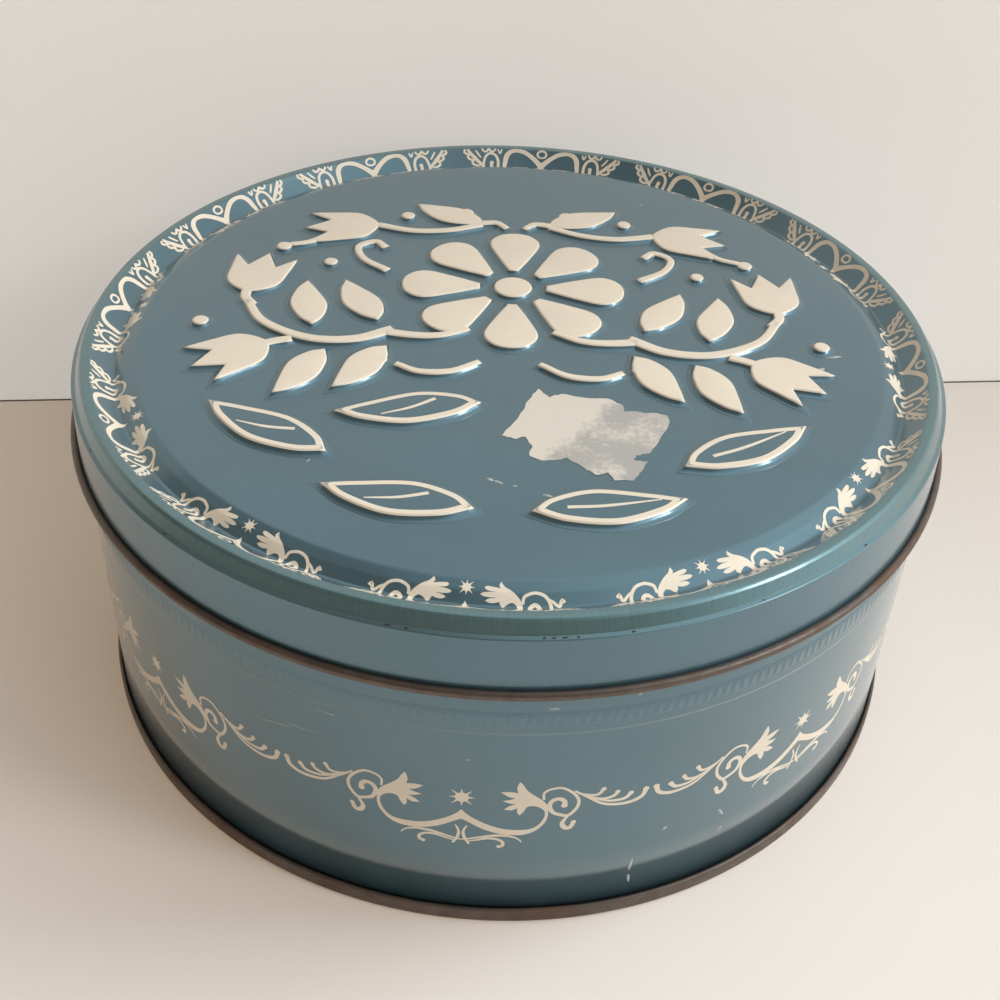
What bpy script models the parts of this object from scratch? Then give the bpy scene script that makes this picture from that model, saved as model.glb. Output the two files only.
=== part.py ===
"""Round slip-lid tin box in tinplate: rolled body wall, seamed base end and stamped lid.

Units are metres, +Z is up. The origin is the middle of the ring that the tin stands on.
Every sheet is drawn as the middle line of its cross-section, turned about Z and then given its
thickness, the way the real pieces are one gauge of sheet all over. The lid's picture is pressed:
its forms are added to the sheet, and the same forms, one gauge lower, are taken away beneath.
"""

import math

import bmesh
import bpy
from mathutils import Matrix, Vector

# Sheet metal
SHEET = 0.00026
SEAM_GAP = 0.00012
SEGMENTS = 60

# Body wall
WALL_RADIUS = 0.0984
MOUTH_HEIGHT = 0.0840
MOUTH_FOLD_RADIUS = 0.00035
MOUTH_FOLD_DEPTH = 0.0016
MOUTH_FOLD_POINTS = 5
FOLD_CHAMFER = 0.00018

# Double seam that joins the base to the wall
SEAM_HEIGHT = 0.0033
HOOK_END_CLEARANCE = 0.00045

# Base end
PANEL_RECESS = 0.0036
PANEL_CORNER = 0.0007
BASE_BEAD_RADIUS = 0.0740
BASE_BEAD_WIDTH = 0.0070
BASE_BEAD_SLOPE = 0.0015
BASE_BEAD_DEPTH = 0.0006

# Bead round the wall that lies below the lid's hem
BEAD_BELOW_HEM = 0.0058
BEAD_HEIGHT = 0.0033
BEAD_PROUD = 0.00022
BEAD_SLOPE = 0.0006

# Lock seam down the wall, to the right of its back, folded to the inside
LOCK_SEAM_FACET = 10
LOCK_SEAM_WIDTH = 0.0046
LOCK_SEAM_PROUD = 0.00055
LOCK_SEAM_ROOT = 0.00010
LOCK_SEAM_END_MARGIN = 0.0022

# Lid
LID_CLEARANCE = 0.00035
LID_SEAT_GAP = 0.00030
LEDGE_WIDTH = 0.00085
LEDGE_DROP = 0.00035
RIM_HEIGHT = 0.0030
RIM_LEAN = 0.0011
RIM_SHOULDER = 0.0005
RIM_FLAT = 0.0018
RIM_INNER_SHOULDER = 0.0008
BANK_WIDTH = 0.0035
GUTTER_DEPTH = 0.00375
GUTTER_WIDTH = 0.0007
FIELD_SLOPE_WIDTH = 0.0045
FIELD_SHOULDER_WIDTH = 0.0023
FIELD_SHOULDER_DROP = 0.00085
FIELD_RISE = 0.00235
DOME_RISE = 0.0007
SKIRT_DEPTH = 0.0143
SKIRT_FLARE = 0.0004
HEM_HEIGHT = 0.0021
HEM_DEPTH = 0.0019
HEM_POINTS = 7
HEM_TURN_SHARE = 0.84
DOME_RINGS = 2

# Pressed picture on the lid's field: a flower between two sprays, over five large leaves
RELIEF_HEIGHT = 0.0011
RELIEF_SHOULDER = 0.0008
RELIEF_MARGIN = 0.0091
FLOWER_OFFSET = 0.0180
PETAL_COUNT = 8
PETAL_ROOT_RADIUS = 0.0074
PETAL_LENGTH = 0.0200
PETAL_WIDTH = 0.0138
PETAL_SHARES = ((0.0, 0.22), (0.36, 0.68), (0.70, 1.0), (0.93, 0.66), (1.0, 0.0))
BUTTON_RADIUS = 0.0052
BUTTON_POINTS = 8
STEM_WIDTH = 0.0042
STEM_END_WIDTH = 0.0032
STEM_PATH_SHARES = ((0.36, -0.04), (0.47, -0.10), (0.61, -0.10), (0.75, -0.02), (0.82, 0.10))
LEAF_LENGTH = 0.0220
LEAF_WIDTH = 0.0105
LEAF_SHARES = (
    (0.0, 0.0), (0.22, -0.62), (0.52, -0.86), (0.80, -0.42),
    (1.0, 0.30), (0.74, 0.66), (0.42, 0.98), (0.16, 0.66),
)
# Each place is given along X and Y from the lid's middle, and then its turn in degrees.
LEAF_PLACE_SHARES = (
    (0.40, 0.00, 58), (0.60, -0.04, 76), (0.36, -0.12, -62), (0.54, -0.15, -66), (0.10, 0.65, 24),
)
TULIP_LENGTH = 0.0200
TULIP_WIDTH = 0.0170
TULIP_SHARES = ((0.0, 0.24), (0.20, 0.80), (0.52, 0.92), (0.95, 1.0), (0.66, 0.42), (1.0, 0.0))
TULIP_PLACE_SHARES = ((0.83, 0.15, 98), (0.72, -0.13, -36), (0.46, 0.62, -10))
LARGE_LEAF_LENGTH = 0.0340
LARGE_LEAF_WIDTH = 0.0130
LARGE_LEAF_PLACE_SHARES = ((0.47, -0.66, 28), (0.06, -0.87, 8))
LONE_LEAF_PLACE_SHARES = ((0.06, -0.40, -12),)

# Finishes: colour, roughness, metallic
BLUE_LACQUER = ((0.105, 0.190, 0.225, 1.0), 0.38, 0.55)
BARE_STEEL = ((0.110, 0.080, 0.060, 1.0), 0.50, 0.80)

# Worked out from the sizes above
HALF_SHEET = SHEET / 2
LAYER = SHEET + SEAM_GAP
WALL_LINE = WALL_RADIUS - HALF_SHEET
HEM_BOTTOM = MOUTH_HEIGHT + LID_SEAT_GAP - SKIRT_DEPTH
LEDGE_HEIGHT = MOUTH_HEIGHT + LID_SEAT_GAP + HALF_SHEET
SKIRT_LINE = WALL_RADIUS + LID_CLEARANCE + HALF_SHEET
LEDGE_LINE = SKIRT_LINE - LEDGE_WIDTH
CREST_HEIGHT = LEDGE_HEIGHT + RIM_HEIGHT
RIM_TOP = CREST_HEIGHT - HALF_SHEET
RIM_OUTER = LEDGE_LINE - RIM_LEAN
BANK_TOP = RIM_OUTER - RIM_SHOULDER - RIM_FLAT - RIM_INNER_SHOULDER
GUTTER_INNER = BANK_TOP - BANK_WIDTH - GUTTER_WIDTH
FIELD_EDGE = GUTTER_INNER - FIELD_SLOPE_WIDTH
FIELD_EDGE_HEIGHT = RIM_TOP - GUTTER_DEPTH + FIELD_RISE
RELIEF_REACH = FIELD_EDGE - RELIEF_MARGIN


def make_material(name, finish):
    """A plain Principled material from a colour, a roughness and a metallic value."""
    colour, roughness, metallic = finish
    material = bpy.data.materials.new(name)
    material.use_nodes = True
    shader = material.node_tree.nodes["Principled BSDF"]
    shader.inputs["Base Color"].default_value = colour
    shader.inputs["Roughness"].default_value = roughness
    shader.inputs["Metallic"].default_value = metallic
    material.diffuse_color = colour
    return material


def arc(centre, radii, start, end, count):
    """Points of an elliptical arc in the plane of the section, angles in degrees from +X."""
    points = []
    for step in range(count):
        angle = math.radians(start + (end - start) * step / (count - 1))
        radius = centre[0] + radii[0] * math.cos(angle)
        height = centre[1] + radii[1] * math.sin(angle)
        points.append((radius, height))
    return points


def turned_sheet(name, section, material, collection):
    """A section's middle line turned about Z and thickened to the sheet's gauge."""
    mesh = bpy.data.meshes.new(name)
    points = [(radius, 0, height) for radius, height in section]
    edges = [(index, index + 1) for index in range(len(section) - 1)]
    mesh.from_pydata(points, edges, [])
    part = bpy.data.objects.new(name, mesh)
    part.data.materials.append(material)
    collection.objects.link(part)

    turn = part.modifiers.new("turn", "SCREW")
    turn.axis = "Z"
    turn.angle = math.tau
    turn.steps = SEGMENTS
    turn.render_steps = SEGMENTS
    turn.use_smooth_shade = True
    turn.use_merge_vertices = True
    turn.merge_threshold = SEAM_GAP / 10

    gauge = part.modifiers.new("gauge", "SOLIDIFY")
    gauge.thickness = SHEET
    gauge.offset = 0
    gauge.use_even_offset = True
    return part


def wall_section():
    """Hook, wall, bead and folded-in mouth, from the bottom hook up."""
    hook_line = WALL_LINE + 2 * LAYER
    hook_foot = HALF_SHEET + LAYER
    hook_top = SEAM_HEIGHT - SHEET - HOOK_END_CLEARANCE
    bead_top = HEM_BOTTOM - BEAD_BELOW_HEM
    bead_bottom = bead_top - BEAD_HEIGHT
    bead_line = WALL_LINE + BEAD_PROUD
    fold_height = MOUTH_HEIGHT - HALF_SHEET - MOUTH_FOLD_RADIUS
    fold_centre = (WALL_LINE - MOUTH_FOLD_RADIUS, fold_height)
    fold_radii = (MOUTH_FOLD_RADIUS, MOUTH_FOLD_RADIUS)

    section = [
        (hook_line, hook_top),
        (hook_line, hook_foot + FOLD_CHAMFER),
        (hook_line - FOLD_CHAMFER, hook_foot),
        (WALL_LINE + FOLD_CHAMFER, hook_foot),
        (WALL_LINE, hook_foot + FOLD_CHAMFER),
        (WALL_LINE, bead_bottom - BEAD_SLOPE),
        (bead_line, bead_bottom),
        (bead_line, bead_top),
        (WALL_LINE, bead_top + BEAD_SLOPE),
    ]
    section += arc(fold_centre, fold_radii, 0, 180, MOUTH_FOLD_POINTS)
    section.append((WALL_LINE - 2 * MOUTH_FOLD_RADIUS, fold_height - MOUTH_FOLD_DEPTH))
    return section


def base_section():
    """Recessed panel with its ring bead, chuck wall, and the fold round the wall's hook."""
    panel = PANEL_RECESS + HALF_SHEET
    bead = panel - BASE_BEAD_DEPTH
    bead_inner = BASE_BEAD_RADIUS - BASE_BEAD_WIDTH / 2
    bead_outer = BASE_BEAD_RADIUS + BASE_BEAD_WIDTH / 2
    chuck_line = WALL_LINE - LAYER
    outer_line = WALL_LINE + 3 * LAYER
    hook_line = WALL_LINE + LAYER
    top = SEAM_HEIGHT - HALF_SHEET
    hook_tip = HALF_SHEET + LAYER + HALF_SHEET + HOOK_END_CLEARANCE
    return [
        (0, panel),
        (bead_inner - BASE_BEAD_SLOPE, panel),
        (bead_inner, bead),
        (bead_outer, bead),
        (bead_outer + BASE_BEAD_SLOPE, panel),
        (chuck_line - PANEL_CORNER, panel),
        (chuck_line, panel - PANEL_CORNER),
        (chuck_line, HALF_SHEET + FOLD_CHAMFER),
        (chuck_line + FOLD_CHAMFER, HALF_SHEET),
        (outer_line - FOLD_CHAMFER, HALF_SHEET),
        (outer_line, HALF_SHEET + FOLD_CHAMFER),
        (outer_line, top - FOLD_CHAMFER),
        (outer_line - FOLD_CHAMFER, top),
        (hook_line + FOLD_CHAMFER, top),
        (hook_line, top - FOLD_CHAMFER),
        (hook_line, hook_tip),
    ]


def field_ring(ring):
    """Radius and height of one ring of the lid's domed field, counted from the middle."""
    share = ring / DOME_RINGS
    return FIELD_EDGE * share, FIELD_EDGE_HEIGHT + DOME_RISE * (1 - share * share)


def lid_section():
    """Domed field, gutter, bank, rim, ledge, skirt and outward curled hem, from the axis out."""
    crest_outer = RIM_OUTER - RIM_SHOULDER
    crest_inner = crest_outer - RIM_FLAT
    bank_foot = BANK_TOP - BANK_WIDTH
    gutter = RIM_TOP - GUTTER_DEPTH
    hem_bottom = HEM_BOTTOM + HALF_SHEET
    hem_half_height = HEM_HEIGHT / 2 - HALF_SHEET
    hem_half_depth = HEM_DEPTH / 2 - HALF_SHEET
    hem_wall = SKIRT_LINE + SKIRT_FLARE
    hem_centre = (hem_wall + hem_half_depth, hem_bottom + hem_half_height)

    section = [field_ring(ring) for ring in range(DOME_RINGS + 1)]
    section += [
        (FIELD_EDGE + FIELD_SHOULDER_WIDTH, FIELD_EDGE_HEIGHT - FIELD_SHOULDER_DROP),
        (GUTTER_INNER, gutter),
        (bank_foot, gutter),
        (BANK_TOP, RIM_TOP - RIM_INNER_SHOULDER),
        (crest_inner, RIM_TOP),
        (crest_outer, RIM_TOP),
        (RIM_OUTER, RIM_TOP - RIM_SHOULDER),
        (LEDGE_LINE, LEDGE_HEIGHT),
        (SKIRT_LINE, LEDGE_HEIGHT - LEDGE_DROP),
    ]
    turn = 360 * HEM_TURN_SHARE
    section += arc(hem_centre, (hem_half_depth, hem_half_height), 180, 180 + turn, HEM_POINTS)
    return section


def field_height(radius):
    """Height of the middle of the field's sheet at a distance from the axis."""
    ring = min(int(radius / FIELD_EDGE * DOME_RINGS), DOME_RINGS - 1)
    inner, inner_height = field_ring(ring)
    outer, outer_height = field_ring(ring + 1)
    share = (radius - inner) / (outer - inner)
    return inner_height + (outer_height - inner_height) * share


def outline(shares, length, width):
    """An outline along +X from shares of its length and half width, counterclockwise."""
    points = [Vector((along * length, across * width / 2)) for along, across in shares]
    if any(across < 0 for along, across in shares):
        return points
    lower = [Vector((point.x, -point.y)) for point in points]
    upper = [point for point in reversed(points) if point.y > 0]
    return lower + upper


def stem_outline():
    """The stem's outline, drawn on both sides of its path, narrower towards its end."""
    path = [Vector(share) * RELIEF_REACH for share in STEM_PATH_SHARES]
    last = len(path) - 1
    right = []
    left = []
    for index, point in enumerate(path):
        along = (path[min(index + 1, last)] - path[max(index - 1, 0)]).normalized()
        width = STEM_WIDTH + (STEM_END_WIDTH - STEM_WIDTH) * index / last
        side = Vector((along.y, -along.x)) * width / 2
        right.append(point + side)
        left.append(point - side)
    return right + left[::-1]


def placed(points, x, y, degrees):
    """An outline turned about its root and moved to a place on the lid."""
    turn = Matrix.Rotation(math.radians(degrees), 2)
    return [turn @ point + Vector((x, y)) for point in points]


def placed_share(points, place):
    """An outline moved to a place that is given in shares of the picture's reach."""
    x, y, degrees = place
    return placed(points, x * RELIEF_REACH, y * RELIEF_REACH, degrees)


def mirrored(points):
    """The same outline on the other side of the lid's middle line."""
    return [Vector((-point.x, point.y)) for point in reversed(points)]


def picture_outlines():
    """The foot of each pressed form, as seen from above."""
    petal = outline(PETAL_SHARES, PETAL_LENGTH, PETAL_WIDTH)
    leaf = outline(LEAF_SHARES, LEAF_LENGTH, LEAF_WIDTH)
    tulip = outline(TULIP_SHARES, TULIP_LENGTH, TULIP_WIDTH)
    large_leaf = outline(LEAF_SHARES, LARGE_LEAF_LENGTH, LARGE_LEAF_WIDTH)

    forms = []
    for index in range(PETAL_COUNT):
        angle = math.tau * index / PETAL_COUNT
        x = PETAL_ROOT_RADIUS * math.cos(angle)
        y = FLOWER_OFFSET + PETAL_ROOT_RADIUS * math.sin(angle)
        forms.append(placed(petal, x, y, math.degrees(angle)))
    button = []
    for index in range(BUTTON_POINTS):
        angle = math.tau * index / BUTTON_POINTS
        button.append(Vector((math.cos(angle), math.sin(angle))) * BUTTON_RADIUS)
    forms.append(placed(button, 0, FLOWER_OFFSET, 0))

    groups = (
        (leaf, LEAF_PLACE_SHARES),
        (tulip, TULIP_PLACE_SHARES),
        (large_leaf, LARGE_LEAF_PLACE_SHARES),
    )
    side = [stem_outline()]
    for points, places in groups:
        side += [placed_share(points, place) for place in places]
    lone = [placed_share(large_leaf, place) for place in LONE_LEAF_PLACE_SHARES]
    return forms + side + [mirrored(points) for points in side + lone]


def press_picture(lid, collection):
    """Raises the picture in the lid's field, hollow beneath, with the sheet's gauge kept."""
    mesh = bpy.data.meshes.new("pressed_picture")
    picture = bmesh.new()
    for points in picture_outlines():
        foot = [picture.verts.new((point.x, point.y, field_height(point.length))) for point in points]
        top = picture.faces.new(foot)
        top.normal_update()
        bmesh.ops.inset_region(
            picture, faces=[top], thickness=RELIEF_SHOULDER, depth=RELIEF_HEIGHT + HALF_SHEET,
            use_boundary=True, use_even_offset=True,
        )
    open_edges = [edge for edge in picture.edges if len(edge.link_faces) == 1]
    bmesh.ops.holes_fill(picture, edges=open_edges, sides=0)
    bmesh.ops.triangulate(picture, faces=picture.faces)
    bmesh.ops.recalc_face_normals(picture, faces=picture.faces)
    picture.to_mesh(mesh)
    picture.free()

    steps = (("picture_forms", 0, "UNION"), ("picture_hollows", -SHEET, "DIFFERENCE"))
    for name, lift, operation in steps:
        helper = bpy.data.objects.new(name, mesh)
        helper.location.z = lift
        helper.hide_render = True
        helper.display_type = "WIRE"
        collection.objects.link(helper)
        press = lid.modifiers.new(name, "BOOLEAN")
        press.operation = operation
        press.object = helper
        press.use_self = True


def add_lock_seam(wall, collection):
    """Joins the folded side seam to the inside of the wall, on one of its facets."""
    facet = math.tau / SEGMENTS
    turn = (LOCK_SEAM_FACET + 0.5) * facet
    facet_distance = (WALL_RADIUS - SHEET) * math.cos(facet / 2)
    bottom = PANEL_RECESS + LOCK_SEAM_END_MARGIN
    top = MOUTH_HEIGHT - 2 * MOUTH_FOLD_RADIUS - MOUTH_FOLD_DEPTH - LOCK_SEAM_END_MARGIN
    depth = LOCK_SEAM_PROUD + LOCK_SEAM_ROOT
    middle = facet_distance + LOCK_SEAM_ROOT - depth / 2

    mesh = bpy.data.meshes.new("lock_seam")
    block = bmesh.new()
    bmesh.ops.create_cube(block, size=1)
    bmesh.ops.scale(block, vec=(depth, LOCK_SEAM_WIDTH, top - bottom), verts=block.verts)
    bmesh.ops.translate(block, vec=(middle, 0, (top + bottom) / 2), verts=block.verts)
    block.to_mesh(mesh)
    block.free()
    seam = bpy.data.objects.new("lock_seam_strip", mesh)
    seam.rotation_euler.z = turn
    seam.hide_render = True
    seam.display_type = "WIRE"
    collection.objects.link(seam)

    join = wall.modifiers.new("lock_seam", "BOOLEAN")
    join.operation = "UNION"
    join.object = seam
    return seam


def main():
    for existing in list(bpy.data.objects):
        bpy.data.objects.remove(existing)
    scene = bpy.context.scene
    parts = bpy.data.collections.new("tin_box")
    helpers = bpy.data.collections.new("joining_shapes")
    scene.collection.children.link(parts)
    scene.collection.children.link(helpers)

    lacquer = make_material("blue_lacquer", BLUE_LACQUER)
    steel = make_material("bare_steel", BARE_STEEL)
    wall = turned_sheet("body_wall", wall_section(), lacquer, parts)
    turned_sheet("base_end", base_section(), steel, parts)
    lid = turned_sheet("lid", lid_section(), lacquer, parts)
    add_lock_seam(wall, helpers)
    press_picture(lid, helpers)
    helpers.hide_render = True


main()
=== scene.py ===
"""Looks of a round slip-lid tin box: blue lacquered tinplate with a cream printed border.

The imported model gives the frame. Each sheet of the tin is turned again here with the rounded
corners, curls and knurled bead of the real one, and carries its print, raised work, label and wear.
"""

import bisect
import math
from collections import defaultdict

import bmesh
import bpy
from bpy.props import FloatProperty
from bpy.props import FloatVectorProperty
from bpy.props import IntProperty
from bpy.props import PointerProperty
from mathutils import Matrix
from mathutils import Vector
from mathutils import noise


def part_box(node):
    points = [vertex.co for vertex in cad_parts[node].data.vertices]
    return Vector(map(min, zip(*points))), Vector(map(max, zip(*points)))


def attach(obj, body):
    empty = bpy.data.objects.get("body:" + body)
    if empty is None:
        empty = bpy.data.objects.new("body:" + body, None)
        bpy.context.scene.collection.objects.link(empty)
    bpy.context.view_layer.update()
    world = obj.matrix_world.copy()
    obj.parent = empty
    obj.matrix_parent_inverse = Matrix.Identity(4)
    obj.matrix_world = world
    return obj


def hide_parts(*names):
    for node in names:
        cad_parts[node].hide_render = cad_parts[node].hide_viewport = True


bl_info = {
    "name": "Lithographed Tin Box",
    "version": (1, 0, 0),
    "blender": (4, 5, 0),
    "location": "View3D > Sidebar > Tin Box",
    "description": "Builds the finished sheets, print, raised work and label of a round tin box",
    "category": "Add Mesh",
}

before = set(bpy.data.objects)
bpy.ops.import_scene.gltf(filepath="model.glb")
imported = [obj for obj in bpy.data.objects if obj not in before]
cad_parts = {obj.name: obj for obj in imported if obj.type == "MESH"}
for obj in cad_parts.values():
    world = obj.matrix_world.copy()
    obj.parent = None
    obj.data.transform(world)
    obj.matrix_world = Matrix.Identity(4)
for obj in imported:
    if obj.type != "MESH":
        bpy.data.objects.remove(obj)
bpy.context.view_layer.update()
WALL_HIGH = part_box("body_wall")[1]
BASE_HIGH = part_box("base_end")[1]
LID_LOW, LID_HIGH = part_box("lid")
MM = 0.001
# The body that a piece of the wall or of the lid rides on, and its slot
ON_WALL = ("tin", "lacquered_wall")
ON_LID = ("lid", "lacquered_lid")
# The sheets, in metres: the field's dome and its rings, the skirt, the radius outside which the
# lid's low faces are its hem, the play in the base seam, and the parts that a turn is made of
DOME_HEIGHT = 0.0007
DOME_RINGS = 14
FIELD_RADIUS = 0.08513
SKIRT_RADIUS = 0.09928
HEM_FROM_RADIUS = 0.0990
SEAM_PLAY = 0.00012
TURN_PARTS = 12
# The knurled strip: how far its back, foot and crest stand off the wall, and facets to a notch
KNURL_PROUD = (0.00003, 0.0001, 0.0003)
KNURL_EDGE = 0.0005
KNURL_STEPS = 4
# The height that the wall's print and marks are placed from, and the radii that the lid's bend to
WALL_FACE_TOP = 0.09
LID_BORDER_RADIUS = 0.0900
LEDGE_RADIUS = 0.0985
# How far apart the cuts are that let a flat drawing bend, in millimetres
BORDER_CUT = 2.4
CHIP_CUT = 1.5
LABEL_CUT = 2.0
# Chips: thickness and lift in metres, corners, and a speck's width in millimetres
CHIP_FILM = 0.00003
CHIP_LIFT = 0.00002
CHIP_LIFT_ON_STRIP = 0.00033
CHIP_CORNERS = 14
CHIP_RAGGED = 0.45
SPECK_WIDTH = 0.32
# The label: thickness, top and puckers in metres, and its torn edge in millimetres
LABEL_FILM = 0.00011
LABEL_TOP = 0.00009
LABEL_PUCKER = 0.00009
PUCKERS_PER_METRE = 160
LABEL_SINK = 0.00001
TEAR_DEPTH = 0.5
TEAR_STEP = 0.7
# How fast the rim's streaks change with height, per metre
STREAK_STEEPNESS = 260.0


def tone(red, green, blue):
    """A linear colour from the 0 to 255 values that a screen shows."""
    shares = []
    for value in (red, green, blue):
        share = value / 255
        shares.append(share / 12.92 if share < 0.04045 else ((share + 0.055) / 1.055) ** 2.4)
    return tuple(shares)


def length_setting(name, description, default):
    """A length that the sidebar shows in scene units."""
    return FloatProperty(
        name=name,
        description=description,
        default=default,
        precision=5,
        unit="LENGTH",
        subtype="DISTANCE",
    )


def angle_setting(name, description, degrees):
    """An angle that the sidebar shows in degrees."""
    return FloatProperty(
        name=name,
        description=description,
        default=math.radians(degrees),
        unit="ROTATION",
        subtype="ANGLE",
    )


def share_setting(name, description, default):
    """A value from 0 to 1."""
    return FloatProperty(name=name, description=description, default=default, min=0, max=1)


def colour_setting(name, description, default):
    """A colour picked in the sidebar."""
    return FloatVectorProperty(
        name=name,
        description=description,
        default=default,
        size=3,
        min=0,
        max=1,
        subtype="COLOR",
    )


def count_setting(name, description, default, least):
    """A whole number with a lower end."""
    return IntProperty(name=name, description=description, default=default, min=least)


class TinSizes(bpy.types.PropertyGroup):
    """Sizes of the three sheets."""

    sheet: length_setting("Sheet", "Thickness of the tinplate", 0.00026)
    turn_steps: count_setting("Turn Steps", "Facets round each turned sheet", 360, 36)
    wall_radius: length_setting("Wall Radius", "Outside of the body wall", 0.0984)
    mouth_height: length_setting("Mouth Height", "Top of the folded mouth", WALL_HIGH.z)
    mouth_fold: length_setting("Mouth Fold", "How far the mouth's edge is folded down", 0.0020)
    seam_radius: length_setting("Seam Radius", "Outside of the base's double seam", BASE_HIGH.x)
    seam_height: length_setting("Seam Height", "Top of the double seam", BASE_HIGH.z)
    panel_recess: length_setting("Panel Recess", "Height of the base panel", 0.0036)
    lid_top: length_setting("Lid Top", "Highest point of the rim", 0.08743)
    hem_radius: length_setting("Hem Radius", "Outside of the curled hem", LID_HIGH.x)
    hem_bottom: length_setting("Hem Bottom", "Lowest point of the curled hem", LID_LOW.z)
    hem_height: length_setting("Hem Height", "Height of the hem's curl", 0.0021)
    bead_bottom: length_setting("Bead Bottom", "Foot of the bead round the wall", 0.0584)
    knurl_bottom: length_setting("Knurl Bottom", "Foot of the knurled strip", 0.0609)
    knurl_top: length_setting("Knurl Top", "Top of the knurled strip", 0.0642)
    knurl_depth: length_setting("Knurl Depth", "Depth of one notch", 0.00022)
    knurl_count: count_setting("Knurl Count", "Notches round the bead", 300, 12)


class TinPrint(bpy.types.PropertyGroup):
    """Places and sizes of the printed border and of the raised work."""

    ink: length_setting("Ink", "How far the print stands off the sheet", 0.00002)
    wall_repeats: count_setting("Wall Repeats", "Motifs round the wall", 8, 1)
    wall_turn: angle_setting("Wall Turn", "Where the front motif's star is", -93.3)
    wall_star: length_setting("Wall Star Height", "Height of the star's middle", 0.0395)
    lid_repeats: count_setting("Lid Repeats", "Motifs round the lid", 12, 1)
    lid_turn: angle_setting("Lid Turn", "Where the front motif's star is", -94)
    lid_shoulder: length_setting("Lid Shoulder", "Radius that the lid's border is placed from", 0.0873)
    relief: length_setting("Relief", "Height of the raised work over the field", 0.0011)
    relief_reach: length_setting("Relief Reach", "Radius that the raised work fills", 0.07603)
    relief_inset: length_setting("Relief Inset", "From a form's foot in to its flat top", 0.0010)


class TinFinish(bpy.types.PropertyGroup):
    """Colours and gloss of the finishes."""

    lacquer: colour_setting("Lacquer", "Blue lacquer over tinplate", tone(85, 119, 131))
    # The rim's lighter, greener tint is partly real streaks and partly a painted reflection of the
    # rim's shine.
    rim_streaks_and_sheen: colour_setting("Rim Streaks And Sheen", "Streaks on the rim", tone(108, 142, 138))
    cream: colour_setting("Cream", "Cream print", tone(246, 232, 210))
    steel: colour_setting("Bare Steel", "Browned cut and folded edges", tone(108, 97, 90))
    rust: colour_setting("Rust", "Rust on the seams", tone(116, 86, 64))
    inside: colour_setting("Inside", "Plain tinplate inside the tin", tone(196, 192, 182))
    paper: colour_setting("Paper", "Face of the torn label", tone(228, 218, 203))
    paper_rubbed: colour_setting("Rubbed Paper", "Label where its face has gone", tone(186, 181, 174))
    floor: colour_setting("Floor", "Table top", tone(226, 222, 218))
    backdrop: colour_setting("Backdrop", "Wall behind the table", tone(214, 209, 203))
    metallic: share_setting("Metallic", "How far the tinplate shines through the lacquer", 0.6)
    roughness: share_setting("Roughness", "Spread of the lacquer's shine", 0.36)


# The printed border, drawn flat in millimetres from the middle of its star: across and up.
# Each outline is a list of smooth runs that meet in sharp corners, for the half right of the star.
SWAG_AND_TULIP = (
    (
        (0, -3.7), (1.2, -5.2), (3.2, -6.8), (6.3, -8.5), (9.4, -9.4), (12.6, -9.5),
        (14.7, -8.9), (16, -7.4), (16.7, -5.5), (16.7, -3.9), (16, -2.9), (15.2, -2.3),
        (14, -2), (13, -2.4), (12.5, -3.7), (11.7, -4.9),
    ),
    ((11.7, -4.9), (11.1, -3.9), (11.2, -2.6)),
    ((11.2, -2.6), (10, -3.3), (8.5, -3.1)),
    ((8.5, -3.1), (9.6, -2), (10.9, -1.4)),
    ((10.9, -1.4), (9.6, -1.2), (8.1, -0.5)),
    ((8.1, -0.5), (9.6, -0.1), (10.7, 0.4)),
    ((10.7, 0.4), (9.2, 0.9), (7.7, 2.2)),
    ((7.7, 2.2), (9.5, 2.3), (11.2, 2)),
    ((11.2, 2), (10.9, 3.6), (11.4, 5.4)),
    (
        (11.4, 5.4), (12.1, 4.5), (12.8, 3), (13.9, 1.7), (15.2, 0.5), (16.4, -0.7),
        (17.2, -2.2), (17.4, -3.9), (17.4, -5.4), (16.9, -7.4), (15.3, -9.7), (13, -11),
        (10.1, -11.2), (7.3, -10.7), (4.2, -9.4), (1.2, -7.4), (0, -6.7),
    ),
)
# Each stroke is a path with its widths at the start, in the middle and at the end.
BORDER_STROKES = (
    (
        (
            (16.4, -0.2), (16.3, 1.7), (17.4, 2.8), (19.2, 3.2), (20.5, 2.8), (22.3, 1.2),
            (23.3, -0.5), (23.5, -1.8), (23.1, -3.6), (21.6, -5.5), (20, -5.2), (18.3, -4.2),
            (17.6, -1.9), (18.4, -0.4), (19.7, -0.2), (20.6, -1.1), (20.6, -2.3),
        ),
        (0.5, 0.75, 1.1),
    ),
    (
        ((21.6, -5.5), (20.6, -7.3), (20.5, -8.4), (21.2, -9.5), (22.2, -9.4), (22.8, -7.8)),
        (0.5, 1.2, 0.9),
    ),
    (
        (
            (22.5, 1.9), (25.5, -0.6), (28.5, -3), (31.5, -3.9), (34.5, -3.9), (36.8, -2.8),
            (37.5, -0.8),
        ),
        (0.5, 0.7, 1.1),
    ),
    (((24, 0.6), (28.6, -2), (31, -2.6), (33.2, -2.4), (34.3, -1.1)), (0.4, 0.6, 1)),
    (((23.6, 0.8), (27.4, -1.2), (29.3, -1.5), (30.8, -1), (31.4, 0)), (0.4, 0.6, 0.9)),
    (((23.2, 1.2), (25.6, 0.2), (27.4, 0.1), (28.4, 1.5)), (0.4, 0.6, 0.9)),
    (((1.2, -8.7), (0.5, -10.5), (0.7, -12.5), (1.7, -14.6)), (0.3, 0.7, 0.5)),
    (
        (
            (0, -13.3), (1.7, -12.9), (4.2, -12.1), (6.7, -11.5), (9.4, -11.5), (11.5, -12.3),
            (12.4, -13.5),
        ),
        (0.4, 0.8, 0.3),
    ),
    (
        (
            (1.1, -13.8), (3.2, -13.2), (5.3, -12.5), (7.3, -12.6), (8.6, -13.6), (8.5, -14.7),
            (7.8, -15),
        ),
        (0.3, 0.6, 0.8),
    ),
)
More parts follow.
